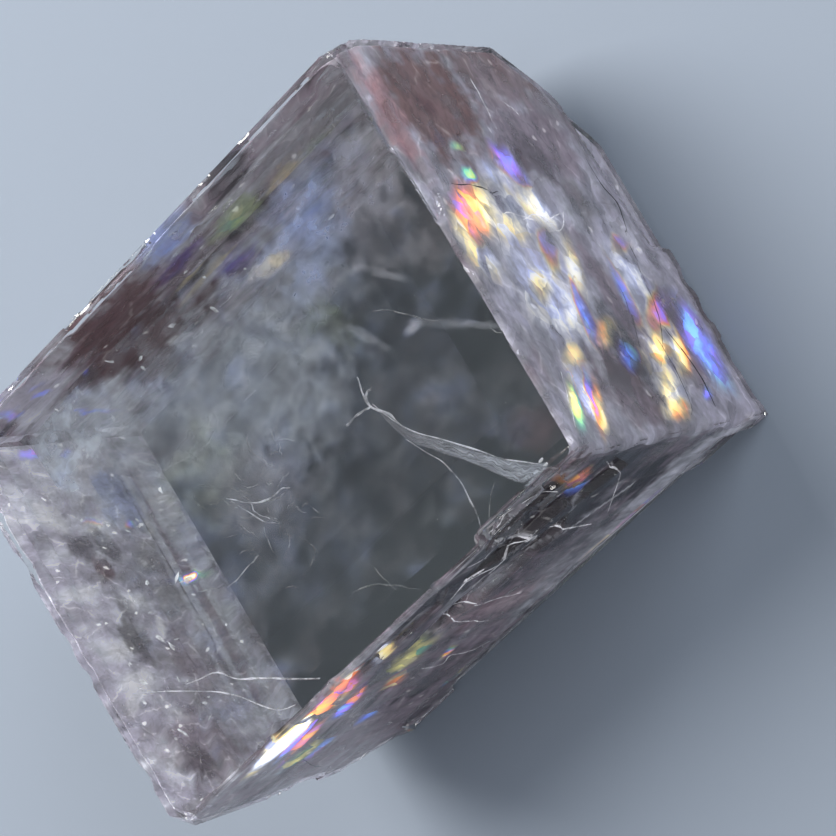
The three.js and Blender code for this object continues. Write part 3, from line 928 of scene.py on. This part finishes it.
FRONT_PATCHES = {
    "dark_head": (6.0, 5.4, 6.5, 4.4, -8, "painted_shade", 0.92, 0.92),
    "dark_line": (12.5, 2.0, 5.5, 1.3, -6, "painted_shade", 0.95, 0.9),
    "dark_wedge": (8.6, 8.4, 2.2, 2.2, 0, "painted_shade", 0.92, 0.7),
    "lilac_strip": (9.0, 16.2, 9.0, 3.0, 0, "milk", 0.85, 0.85),
    "pale_rim": (12.0, 18.4, 11.0, 0.3, 0, "milk", 0.9, 0.6),
    "ash_between": (13.0, 12.6, 6.0, 2.4, 0, "ash", 0.75, 0.6),
    "ash_middle": (20.5, 6.4, 3.4, 3.0, 0, "ash", 0.75, 0.55),
    "pink_middle": (17.0, 10.0, 2.6, 3.8, 0, "pink", 0.7, 0.35),
    "mauve_middle": (21.8, 12.0, 4.0, 4.4, 0, "mauve", 0.75, 0.5),
    "facet": (31.2, 13.0, 4.8, 5.6, 0, "mauve", 0.9, 0.9),
    "bevel": (26.0, 17.6, 6.4, 1.4, 0, "painted_shade", 0.92, 0.85),
    "facet_low": (29.6, 16.6, 3.4, 1.4, -20, "mauve", 0.8, 0.5),
    "thread_white": (8.8, 5.2, 0.14, 3.2, 4, "white", 1.0, 0.9),
    "crack_white": (7.6, 9.6, 3.4, 0.14, -28, "white", 1.0, 0.85),
    "crack_branch": (5.4, 6.4, 2.4, 0.1, 12, "milk", 1.0, 0.8),
    "edge_white": (8.4, 0.6, 4.0, 0.25, 0, "white", 0.95, 0.6),
    "window_rim": (20.0, 0.4, 7.0, 0.2, 0, "milk", 0.95, 0.6),
}

# Films on the left face: corners as (back, down); the glint is a painted highlight, glowing by its
# strength.
LEFT_FILMS = {
    "glint": ([(16.9, 15.0), (16.6, 18.2), (15.9, 18.4), (16.2, 15.2)], (0.80, 0.98), 1.8, "across"),
    "glint_core": ([(16.7, 16.0), (16.5, 17.5), (16.1, 17.6), (16.3, 16.1)], (0.19, 0.19), 4.0, "along"),
    "violet_join": ([(26.6, 5.0), (26.6, 8.0), (25.8, 8.0), (25.8, 5.0)], (0.62, 0.70), 0.9, "along"),
    "blue_join": ([(26.4, 9.6), (26.4, 12.0), (25.7, 12.0), (25.7, 9.6)], (0.66, 0.76), 0.9, "along"),
    "cream_fleck": ([(20.9, 12.6), (20.9, 13.8), (20.2, 13.8), (20.2, 12.6)], (0.24, 0.98), 0.6, "across"),
    "green_fleck": ([(21.4, 8.2), (21.2, 10.6), (20.6, 10.4), (20.7, 8.0)], (0.90, 0.16), 0.5, "along"),
}

# Each layer's face, how long the face is, the spacing of its points, its depth and its looks.
FACE_LAYERS = {
    "left_face_flaws": ("left", BACK_EDGE, 0.22, 0.3, LEFT_GROUND, LEFT_PATCHES, LEFT_FILMS),
    "back_face_flaws": ("back", LONG_EDGE, 0.25, 0.3, BACK_GROUND, BACK_PATCHES, BACK_FILMS),
    "right_face_flaws": ("right", BACK_EDGE, 0.2, 0.2, RIGHT_GROUND, RIGHT_PATCHES, RIGHT_FILMS),
    "front_face_flaws": ("front", LONG_EDGE, 0.2, 0.25, FRONT_GROUND, FRONT_PATCHES, FRONT_FILMS),
}


def make_face_layers():
    stone = stone_surface()
    # Each glow is a painted glow, emission standing in for light that cannot reach the layer inside the
    # stone.
    finishes = {
        "left": flaw_finish(
            "left_face_crazing",
            (0.9, 1.9),
            (0.6, 1.3),
            glow=0.28,
            contrast=0.2,
            cracks=0.4,
            sparkle=0.9,
            film_glow=0.8,
        ),
        "back": flaw_finish(
            "back_face_streaks",
            (3.2, 1.2),
            (1.3, 1.3),
            glow=0.18,
            contrast=0.18,
            cracks=0.1,
            sparkle=0.3,
            film_glow=0.8,
        ),
        "right": flaw_finish(
            "right_face_frost",
            (2.4, 1.2),
            (1.4, 0.8),
            glow=0.17,
            contrast=0.12,
            cracks=0.18,
            sparkle=0.3,
            film_glow=0.9,
            broken=0.32,
        ),
        "front": flaw_finish(
            "front_face_streaks",
            (2.2, 3.0),
            (0.8, 1.6),
            glow=0.115,
            contrast=0.24,
            cracks=0.12,
            sparkle=0.25,
            film_glow=0.8,
            broken=0.75,
        ),
    }
    for order, (name, layer) in enumerate(FACE_LAYERS.items()):
        face, long, spacing, depth, ground, patches, films = layer
        span = ((-WRAP, long + WRAP), (TOP_GAP, DOWN_EDGE + WRAP))
        put, paint = just_under(stone, face, depth), painter(ground, patches, films, order * 11 + 2)
        lay_sheet(name, span, spacing, put, paint, finishes[face])


# ---------------------------------------------------------------- milky clouds

# Milky clouds in the left half of the block, as (left, back) at some depth.
CLOUD_GROUND = ([(0.2, "ash"), (0.5, "haze"), (0.7, "sky"), (0.95, "milk")], (2.4, 1.8), (-0.06, 0.12))
LOW_CLOUD = {
    "main": (26.0, 21.4, 7.5, 4.8, 12, "haze", 0.28, 0.75),
    "upper": (20.0, 24.4, 4.4, 2.6, 0, "haze", 0.5, 0.75),
    "green_edge": (18.6, 21.4, 1.4, 2.6, -35, "sage", 0.45, 0.6),
    "blue_block": (25.4, 23.6, 1.3, 0.9, 15, "sky", 0.6, 0.6),
    "left_block": (31.0, 23.0, 2.6, 2.2, 0, "milk", 0.34, 0.6),
    "low": (28.5, 17.0, 3.2, 2.4, 0, "ash", 0.35, 0.7),
    "base_haze": (14.5, 13.0, 6.0, 5.0, 30, "ash", 0.08, 0.8),
}
MIDDLE_CLOUD = {
    "main": (22.3, 20.1, 7.0, 4.6, 16, "haze", 0.22, 0.75),
    "upper": (16.0, 23.0, 4.2, 2.2, 8, "ash", 0.22, 0.75),
    "left": (29.4, 22.4, 3.2, 2.6, 0, "haze", 0.2, 0.8),
    "lower": (24.6, 15.4, 3.4, 2.2, 20, "ash", 0.16, 0.7),
    "knot": (20.6, 21.6, 1.3, 0.8, 30, "milk", 0.26, 0.6),
    "knot_low": (23.4, 18.2, 1.0, 0.7, 60, "milk", 0.24, 0.6),
}
HIGH_CLOUD = {
    "main": (18.5, 18.8, 6.4, 4.6, 20, "haze", 0.26, 0.75),
    "upper": (9.4, 22.4, 4.8, 3.0, 12, "sky", 0.44, 0.65),
    "head": (5.2, 21.8, 2.6, 3.0, 30, "ash", 0.4, 0.75),
    "corner": (31.6, 24.2, 3.4, 2.2, 0, "haze", 0.62, 0.85),
    "corner_link": (27.4, 22.6, 3.0, 2.2, 20, "haze", 0.28, 0.75),
    "lower_left": (24.6, 16.4, 3.0, 2.4, 0, "sage", 0.3, 0.5),
    "cream_spot": (12.4, 22.3, 0.8, 0.4, 20, "cream", 0.55, 0.6),
    "cream_spot_low": (13.8, 22.6, 1.4, 0.5, 20, "cream", 0.5, 0.5),
    "lower": (21.5, 13.6, 3.2, 2.2, 30, "ash", 0.24, 0.6),
    "wisp": (5.2, 12.3, 2.8, 0.22, 39, "milk", 0.25, 0.7),
    "wisp_head": (7.6, 13.9, 0.7, 0.3, 10, "milk", 0.25, 0.7),
    "haze_top": (6.0, 18.4, 3.0, 1.6, 40, "ash", 0.2, 0.7),
    "haze_lines": (7.5, 17.4, 2.2, 0.25, 48, "milk", 0.18, 0.7),
    "haze_lines_low": (10.6, 15.6, 1.6, 0.25, 60, "milk", 0.18, 0.7),
    "brown_low": (4.0, 4.4, 2.6, 1.4, 30, "rust", 0.25, 0.7),
}

# Each cloud's spread left and back, how far down it lies, and its patches.
CLOUD_LAYERS = {
    "cloud_on_the_base": (((12, 34), (10, 26.2)), 17.4, LOW_CLOUD),
    "cloud_near_the_top": (((2, 34.2), (3, 25.9)), 5.2, HIGH_CLOUD),
    "cloud_in_the_middle": (((11, 33.6), (10, 25.9)), 11.3, MIDDLE_CLOUD),
}


def make_clouds():
    # The clouds' glow is a painted glow, so they stay bright inside the stone.
    finish = flaw_finish("milky_cloud", (1.8, 1.4), (1.7, 1.3), glow=0.25, contrast=0.24)
    for order, (name, (span, down, patches)) in enumerate(CLOUD_LAYERS.items()):

        def put(place, down=down, order=order):
            wave = noise.noise(Vector((place.x / 6, place.y / 6, order * 3.3)))
            return spot(place.x, place.y, down + 0.7 * wave)

        lay_sheet(name, span, 0.25, put, painter(CLOUD_GROUND, patches, {}, 61 + 7 * order), finish)


# ---------------------------------------------------------------- cracks

# Crack lines: radius in millimetres, then places left, back and down.
THREADS = {
    "arm_up": (0.10, [
        (11.0, 9.7, 4.4), (11.5, 11.0, 4.7), (12.4, 12.2, 4.9), (12.5, 13.3, 5.2), (12.5, 14.2, 5.5),
    ]),
    "arm_left": (0.08, [(12.3, 12.1, 4.9), (13.3, 12.3, 4.8), (14.3, 12.2, 4.6)]),
    "arm_spur": (0.07, [(12.4, 12.2, 4.9), (12.2, 12.7, 4.7), (11.3, 12.8, 4.3)]),
    "fan_rim": (0.05, [
        (12.2, 12.2, 4.9), (11.0, 9.7, 4.4), (9.3, 7.8, 3.9), (7.4, 5.7, 3.3), (5.8, 3.9, 2.8),
        (3.9, 2.2, 2.0), (2.7, 1.2, 1.5),
    ]),
    "hanging": (0.05, [
        (11.4, 9.2, 4.7), (10.8, 7.9, 4.9), (10.3, 6.9, 5.1), (10.1, 5.7, 5.3), (10.2, 4.6, 5.5),
        (10.4, 3.5, 5.7), (10.8, 2.5, 5.9), (11.2, 1.7, 6.0),
    ]),
    "hanging_faint": (0.03, [(6.8, 3.4, 3.2), (8.2, 2.8, 3.8), (9.2, 2.1, 4.2), (10.2, 1.6, 4.7)]),
    "long_white": (0.07, [
        (31.6, 7.1, 2.3), (30.3, 6.6, 2.1), (29.0, 6.1, 2.0), (28.0, 5.0, 1.9), (26.6, 4.0, 1.8),
        (25.2, 3.0, 1.6), (23.4, 1.7, 1.4), (22.6, 1.2, 1.2),
    ]),
    "low_white": (0.06, [
        (34.6, 8.6, 2.5), (33.4, 7.8, 2.4), (31.1, 6.3, 2.2), (29.2, 4.8, 2.1), (28.1, 3.6, 1.9),
        (26.6, 1.8, 1.7), (25.1, 1.2, 1.5),
    ]),
    "into_band": (0.05, [(27.8, 10.8, 6.4), (26.4, 10.7, 6.0), (25.1, 10.7, 5.8), (24.4, 10.7, 5.7)]),
    "band_scratch": (0.04, [(29.5, 11.8, 5.8), (28.4, 11.2, 5.9), (27.2, 10.7, 6.1)]),
    "lower_a": (0.04, [
        (19.4, 4.6, 4.2), (18.1, 4.1, 4.2), (17.1, 3.5, 4.1), (16.1, 2.6, 4.0), (15.1, 1.7, 3.8),
    ]),
    "lower_b": (0.03, [(17.9, 5.3, 5.3), (17.6, 4.3, 5.1), (17.1, 3.0, 4.8)]),
    "upper_a": (0.035, [
        (9.3, 16.3, 5.3), (8.2, 15.5, 5.1), (7.3, 14.5, 5.0), (6.5, 13.6, 4.9), (5.5, 12.8, 4.8),
    ]),
    "upper_b": (0.03, [(3.0, 10.5, 4.2), (2.4, 9.6, 4.0), (1.5, 9.2, 3.8)]),
    "arc": (0.035, [(21.1, 9.6, 5.3), (20.7, 8.8, 5.3), (20.8, 8.2, 5.3), (21.6, 7.9, 5.4)]),
    "arc_low": (0.03, [(23.5, 7.8, 4.8), (22.9, 7.5, 4.8), (22.5, 6.9, 4.8)]),
    "flick_a": (0.05, [
        (24.1, 14.5, 5.3), (23.2, 13.6, 5.3), (22.4, 12.9, 5.3), (21.3, 12.5, 5.2), (20.4, 12.4, 5.1),
        (19.8, 12.1, 5.0),
    ]),
    "flick_b": (0.05, [(24.1, 14.3, 5.7), (23.6, 13.2, 5.7), (23.0, 12.1, 5.7), (22.1, 11.2, 5.8)]),
    "flick_c": (0.05, [(23.1, 14.1, 5.3), (22.9, 13.3, 5.4), (23.0, 12.6, 5.5), (22.4, 11.8, 5.6)]),
    "flick_d": (0.03, [(21.8, 10.6, 5.5), (22.0, 10.0, 5.6), (22.6, 9.6, 5.7)]),
}
FAINT_RADIUS = 0.05
FAINT_WISPS = 38

# Dark cracks just under a face: face, radius and places on it like those of the patches.
DARK_CRACKS = {
    "over_orange": ("right", 0.045, [(17.7, 2.8), (17.5, 4.1), (17.2, 5.3), (16.8, 6.4)]),
    "rim_upper": ("right", 0.05, [(18.5, 16.3), (16.6, 16.2), (15.2, 16.7), (13.1, 16.0), (11.3, 15.6)]),
    "rim_middle": ("right", 0.04, [(11.3, 15.6), (8.7, 14.7), (6.7, 13.8), (5.0, 12.6)]),
    "rim_lower": ("right", 0.06, [(6.7, 14.1), (5.3, 14.5), (3.3, 14.8), (1.1, 14.5)]),
    "rim_inner": ("right", 0.04, [(6.2, 12.9), (4.8, 12.9), (3.4, 12.8), (1.7, 12.4), (0.9, 11.9)]),
    "rib_side": ("right", 0.04, [(9.7, 12.3), (7.7, 11.7), (5.7, 10.8)]),
    "facet_line": ("front", 0.05, [(31.1, 6.5), (32.4, 8.6), (33.6, 10.8)]),
}

# White scratches on the right and front faces, placed the same way.
SCRATCHES = {
    "tooth": ("right", 0.05, [(14.8, 6.8), (15.1, 8.3), (14.8, 9.4), (15.0, 10.9)]),
    "tooth_branch": ("right", 0.05, [(14.2, 9.1), (13.9, 9.6), (14.1, 10.3), (15.1, 11.2)]),
    "hook": ("right", 0.06, [(15.8, 8.9), (15.1, 8.9), (14.6, 9.1), (14.3, 9.9)]),
    "hook_low": ("right", 0.05, [(15.6, 5.7), (15.1, 7.2), (14.5, 8.6)]),
    "head_line": ("right", 0.04, [(24.4, 9.9), (22.9, 9.8), (20.9, 9.6)]),
    "head_line_short": ("right", 0.035, [(22.8, 11.6), (22.1, 12.2), (21.5, 12.5)]),
    "foot_glint": ("right", 0.04, [(5.1, 2.6), (3.5, 1.9), (1.6, 1.1)]),
    "dark_head": ("front", 0.11, [(9.0, 4.9), (8.6, 5.9), (8.6, 7.4), (8.7, 9.3), (8.8, 11.2)]),
    "dark_head_long": ("front", 0.1, [(14.1, 4.8), (12.4, 4.7), (10.1, 4.8), (8.9, 5.3)]),
    "dark_head_upper": ("front", 0.09, [(14.8, 3.5), (11.8, 2.7), (8.3, 1.8)]),
    "across": ("front", 0.055, [(15.8, 4.2), (15.9, 7.0), (15.7, 9.7), (15.7, 11.8)]),
    "across_low": ("front", 0.05, [(16.6, 5.0), (17.7, 8.5), (18.4, 11.5)]),
    "branch": ("front", 0.08, [(1.1, 4.6), (2.6, 6.9), (3.8, 8.3), (7.8, 11.7)]),
    "cluster": ("front", 0.1, [(8.3, 0.8), (7.2, 1.5), (5.8, 0.9), (3.9, 2.6)]),
    "head_spur": ("front", 0.07, [(12.6, 2.6), (11.6, 4.0), (11.2, 4.9)]),
    "head_upper_spur": ("front", 0.08, [(10.6, 1.2), (9.6, 2.4), (8.9, 3.4), (8.7, 4.8)]),
    "head_low_spur": ("front", 0.06, [(13.6, 6.2), (12.0, 6.6), (10.2, 7.4)]),
    "loop": ("front", 0.05, [(22.6, 9.3), (23.0, 11.6), (22.0, 11.5), (22.1, 13.5), (21.4, 14.8)]),
}


SCRATCH_DEPTH = 0.14
SCRATCH_STEPS = 14


def dark_crack():
    """A crack that turns light away and so looks black, paler where it nearly closes."""
    material, nodes, links = new_material("dark_crack")
    surface = nodes["Principled BSDF"]
    patches = grain(material, 0.3, (0.0016, 0.0006, 0.0006), 4.0, 0.6)
    # Painted shade: the near-black colour stands in for the light the crack turns away.
    stops = [(0, (0.012, 0.011, 0.014)), (1, (0.06, 0.05, 0.06))]
    tint = ramp(material, level(material, patches, 0.35, 0.65), stops)
    links.new(tint, surface.inputs["Base Color"])
    links.new(level(material, patches, 0.36, 0.56, 0.35, 0.95), surface.inputs["Alpha"])
    surface.inputs["Roughness"].default_value = 0.35
    surface.inputs["Specular IOR Level"].default_value = 0.1
    return material


def make_face_scratches(blank):
    """The dark cracks and white scratches that follow a face just under it."""
    stone = stone_surface()

    def scratches(table, seed):
        made = []
        for order, (face, radius, places) in enumerate(table.values()):
            put, drawn = just_under(stone, face, SCRATCH_DEPTH), [Vector(place) for place in places]
            steps = range(SCRATCH_STEPS + 1)
            points = [put(along_path(drawn, step / SCRATCH_STEPS)) for step in steps]
            made.append(bent_thread(blank, points, radius, 0.3, seed + order))
        return made

    finish_piece(join_pieces(scratches(DARK_CRACKS, 90), "dark_cracks"), dark_crack())
    # The scratches are white with a painted glow from their emission.
    finish = white_crack("face_scratch", (0.9, 0.9, 0.96), 0.95, 0.55)
    finish_piece(join_pieces(scratches(SCRATCHES, 120), "face_scratches"), finish)


def make_inner_cracks(blank):
    """The star crack, the long white lines and the faint wisps inside the block."""
    bright, faint = [], []
    for order, (radius, places) in enumerate(THREADS.values()):
        thread = bent_thread(blank, [spot(*place) for place in places], radius, 0.35, order * 1.7)
        (bright if radius >= FAINT_RADIUS else faint).append(thread)
    luck = random.Random(41)
    for order in range(FAINT_WISPS):
        left, back = luck.uniform(19, 25.5), luck.uniform(9.5, 15.5)
        down = luck.uniform(4, 8)
        heading, curl = luck.gauss(0.55, 0.4), luck.uniform(-0.6, 0.6)
        size = luck.uniform(0.5, 1.6)
        places = [spot(left, back, down)]
        for step in range(4):
            heading += curl * 0.5
            left += size * 0.3 * math.cos(heading)
            back += size * 0.3 * math.sin(heading)
            places.append(spot(left, back, down + 0.1 * step))
        faint.append(bent_thread(blank, places, luck.uniform(0.012, 0.035), 0.5, 50 + order))
    # The crack lines and wisps are white with a painted glow from their emission.
    finish = white_crack("bright_crack", (0.86, 0.88, 0.96), 0.9, 0.22)
    finish_piece(join_pieces(bright, "bright_crack_lines"), finish)
    finish = white_crack("faint_wisp", (0.85, 0.88, 0.92), 0.6, 0.06)
    finish_piece(join_pieces(faint, "faint_wisps"), finish)


def make_cracks():
    blank = thread_blank()
    make_face_scratches(blank)
    make_inner_cracks(blank)
    bpy.data.objects.remove(blank)


# The fan's two rims from the star crack to the blunt corner, as places left, back and down.
FAN_LENGTH = 14.0
FAN_UPPER = [
    (12.2, 12.2, 4.9), (11.0, 9.7, 4.4), (9.3, 7.8, 3.9), (7.4, 5.7, 3.3),
    (5.8, 3.9, 2.8), (3.9, 2.2, 2.0), (2.2, 1.2, 1.3),
]
FAN_LOWER = [
    (12.3, 12.1, 5.0), (11.4, 9.2, 4.7), (9.7, 7.1, 4.2), (8.1, 5.2, 3.7),
    (6.6, 3.3, 3.2), (5.5, 2.0, 2.8), (4.2, 1.4, 2.2),
]


def make_star_fan():
    """The tapered veil that opens out from the star crack towards the blunt corner."""
    upper = [spot(*place) for place in FAN_UPPER]
    lower = [spot(*place) for place in FAN_LOWER]

    def put(place):
        share = place.x / FAN_LENGTH
        middle = along_path(lower, share).lerp(along_path(upper, share), place.y)
        return middle + Vector((0, 0, 0.25 * MM * noise.noise(Vector((share * 3, place.y * 6, 8.1)))))

    def paint(place):
        share = place.x / FAN_LENGTH
        tint = Vector(TINTS["ash"]).lerp(Vector(TINTS["haze"]), 0.3 + 0.7 * share)
        rim = min(place.y, 1 - place.y) * 5 + 0.25
        return tint, (0.3 + 0.4 * smooth_step(1.3 * share)) * smooth_step(rim), 0.12, 0.0

    # The fan's glow is a painted glow.
    finish = flaw_finish("fan_silver", (1.6, 0.08), (1.6, 0.3), glow=0.1, contrast=0.3)
    lay_sheet("star_crack_fan", ((0, FAN_LENGTH), (0, 1)), 0.1, put, paint, finish)


# ---------------------------------------------------------------- specks and flakes

SPECKS = 90


def make_specks():
    """Small white inclusions, thickest near the broken faces."""
    bpy.ops.object.select_all(action="DESELECT")
    bpy.ops.mesh.primitive_ico_sphere_add(subdivisions=1, radius=1)
    blank = bpy.context.object
    luck = random.Random(7)
    specks = []
    for order in range(SPECKS):
        if order % 3 == 0:
            place = (luck.uniform(29, 34), luck.uniform(3, 25), luck.uniform(1, 15))
        elif order % 3 == 1:
            place = (luck.uniform(10, 33), luck.uniform(20, 25.6), luck.uniform(1, 15))
        else:
            place = (luck.uniform(3, 30), luck.uniform(3, 24), luck.uniform(1.5, 12))
        speck = bpy.data.objects.new("speck", blank.data.copy())
        bpy.context.scene.collection.objects.link(speck)
        size = luck.uniform(0.015, 0.04) * MM
        stretch = Vector((luck.uniform(0.6, 1.8), luck.uniform(0.6, 1.4), luck.uniform(0.4, 0.8)))
        for vertex in speck.data.vertices:
            vertex.co = spot(*place) + Vector(a * b for a, b in zip(vertex.co, stretch)) * size
        specks.append(speck)
    bpy.data.objects.remove(blank)
    # The specks are white with a faint painted glow from their emission.
    finish = white_crack("white_speck", (0.95, 0.95, 1.0), 0.9, 0.1)
    finish_piece(join_pieces(specks, "white_specks"), finish)


# Bright flakes, each flash a painted glint: place, size in mm and how much longer than wide.
FLAKES = {
    "green_white": ((28.2, 11.9, 3.2), 0.3, 2.6),
    "green_white_tail": ((28.7, 12.4, 3.2), 0.16, 2.8),
    "small_beside": ((30.7, 13.5, 3.2), 0.16, 1.6),
    "arrow_head": ((31.6, 10.3, 2.6), 0.28, 1.9),
    "arrow_tail": ((31.2, 9.4, 2.7), 0.2, 2.6),
    "dot_right": ((28.8, 9.2, 3.2), 0.1, 1.0),
    "dot_left": ((27.4, 8.2, 3.2), 0.1, 1.0),
    "corner_flake": ((0.4, 20.0, 2.5), 0.36, 1.5),
    "corner_chip": ((0.4, 20.7, 2.1), 0.22, 2.0),
    "lilac_upper": ((29.0, 16.3, 3.2), 0.16, 2.6),
    "lilac_far": ((26.6, 17.0, 3.2), 0.14, 2.8),
    "fan_glint": ((3.2, 1.9, 1.9), 0.16, 2.0),
    "low_left": ((34.2, 9.0, 2.6), 0.26, 1.9),
    "low_edge": ((34.6, 7.9, 2.2), 0.2, 1.7),
}
SCATTERED_FLAKES = 44


def make_flakes():
    """Small jagged plates turned roughly towards the camera, whose white emission is a painted glint."""
    luck = random.Random(19)
    facing = (EYE - AIM).normalized()
    flakes = []
    spots = list(FLAKES.values())
    for order in range(SCATTERED_FLAKES):
        if order % 2:
            place = (luck.uniform(33.6, 34.7), luck.uniform(4.5, 25.5), luck.uniform(1, 15))
        else:
            place = (luck.uniform(9, 34), luck.uniform(24.8, 25.7), luck.uniform(1, 15))
        spots.append((place, luck.uniform(0.05, 0.16), luck.uniform(1.5, 4.5)))
    for place, size, long in spots:
        bpy.ops.object.select_all(action="DESELECT")
        bpy.ops.mesh.primitive_circle_add(vertices=luck.choice((5, 6, 7)), radius=1, fill_type="NGON")
        flake = bpy.context.object
        tilt = Vector((luck.gauss(0, 0.25), luck.gauss(0, 0.25), luck.gauss(0, 0.25)))
        spin = Matrix.Rotation(luck.uniform(0, 6.3), 3, "Z")
        turn = (facing + tilt).to_track_quat("Z", "Y").to_matrix() @ spin
        for vertex in flake.data.vertices:
            jag = luck.uniform(0.3, 1.1)
            vertex.co = Vector((vertex.co.x * long * jag, vertex.co.y * jag, 0))
            vertex.co = spot(*place) + turn @ (vertex.co * size * MM)
        apply_modifier(flake, "SOLIDIFY", thickness=SHEET_THICKNESS, offset=0)
        flakes.append(flake)
    # Painted glint: the flakes' emission makes them flash.
    finish = white_crack("bright_flake", (0.92, 0.95, 1.0), 0.9, 0.4)
    finish_piece(join_pieces(flakes, "bright_flakes"), finish, smooth=False)


# ---------------------------------------------------------------- build

set_camera()
let_light_through()
set_floor_and_light()
make_crystal()
make_face_layers()
make_clouds()
make_star_fan()
make_cracks()
make_specks()
make_flakes()
